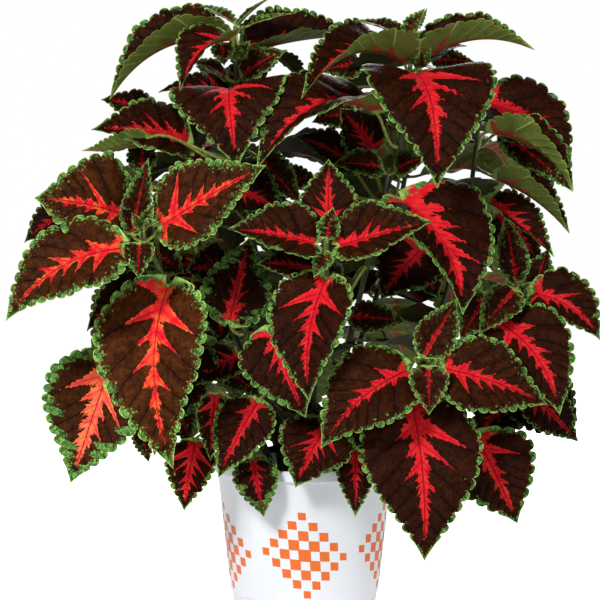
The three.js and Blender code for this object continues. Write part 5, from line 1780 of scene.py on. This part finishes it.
class COLEUS_OT_soil(bpy.types.Operator):
    """Builds the potting mix and its crumbs"""

    bl_idname = "coleus.soil"
    bl_label = "Potting mix"

    def execute(self, context):
        make_soil(context.scene.coleus_sizes)
        return {"FINISHED"}


class COLEUS_OT_stems(bpy.types.Operator):
    """Builds the square stems"""

    bl_idname = "coleus.stems"
    bl_label = "Stems"

    def execute(self, context):
        make_stems(context.scene.coleus_sizes)
        return {"FINISHED"}


class COLEUS_OT_leaves(bpy.types.Operator):
    """Builds the full-grown leaves, each a piece of its own"""

    bl_idname = "coleus.leaves"
    bl_label = "Full-grown leaves"

    def execute(self, context):
        make_leaves(context.scene.coleus_sizes)
        return {"FINISHED"}


class COLEUS_OT_joined_leaves(bpy.types.Operator):
    """Builds the young leaves at the shoots' tips and those behind them"""

    bl_idname = "coleus.joined_leaves"
    bl_label = "Young leaves"

    def execute(self, context):
        make_joined_leaves(context.scene.coleus_sizes)
        return {"FINISHED"}


class COLEUS_OT_inner_leaves(bpy.types.Operator):
    """Builds the leaves that fill the crown"""

    bl_idname = "coleus.inner_leaves"
    bl_label = "Inner leaves"

    def execute(self, context):
        make_inner_leaves(context.scene.coleus_sizes)
        return {"FINISHED"}


class COLEUS_OT_stage(bpy.types.Operator):
    """Builds the floor, the lights and the camera"""

    bl_idname = "coleus.stage"
    bl_label = "Stage"

    def execute(self, context):
        make_stage(context.scene.coleus_sizes)
        return {"FINISHED"}


STEPS = (
    (COLEUS_OT_pot, ("pot_segments", "pot_colour")),
    (COLEUS_OT_print, ("ink_colour", "print_lozenge", "print_repeats")),
    (COLEUS_OT_soil, ("crumb_density",)),
    (COLEUS_OT_stems, ("stem_colour",)),
    (COLEUS_OT_leaves, ("flare_colour", "margin_colour")),
    (COLEUS_OT_joined_leaves, ()),
    (COLEUS_OT_inner_leaves, ("inner_leaves",)),
    (COLEUS_OT_stage, ("floor_radius", "sky_light", "key_power")),
)


class COLEUS_PT_steps(bpy.types.Panel):
    """Lists the pieces of the potted coleus, each with its sizes and colours"""

    bl_idname = "COLEUS_PT_steps"
    bl_label = "Potted Coleus"
    bl_space_type = "VIEW_3D"
    bl_region_type = "UI"
    bl_category = "Coleus"

    def draw(self, context):
        for operator, sizes in STEPS:
            box = self.layout.box()
            box.operator(operator.bl_idname)
            for key in sizes:
                box.prop(context.scene.coleus_sizes, key)


CLASSES = (ColeusSizes, *(operator for operator, _ in STEPS), COLEUS_PT_steps)


def register():
    for cls in CLASSES:
        bpy.utils.register_class(cls)
    bpy.types.Scene.coleus_sizes = PointerProperty(type=ColeusSizes)


def unregister():
    del bpy.types.Scene.coleus_sizes
    for cls in reversed(CLASSES):
        bpy.utils.unregister_class(cls)


def main():
    register()
    bpy.ops.coleus.pot()
    bpy.ops.coleus.print()
    bpy.ops.coleus.soil()
    bpy.ops.coleus.stems()
    bpy.ops.coleus.leaves()
    bpy.ops.coleus.joined_leaves()
    bpy.ops.coleus.inner_leaves()
    bpy.ops.coleus.stage()


if __name__ == "__main__":
    main()
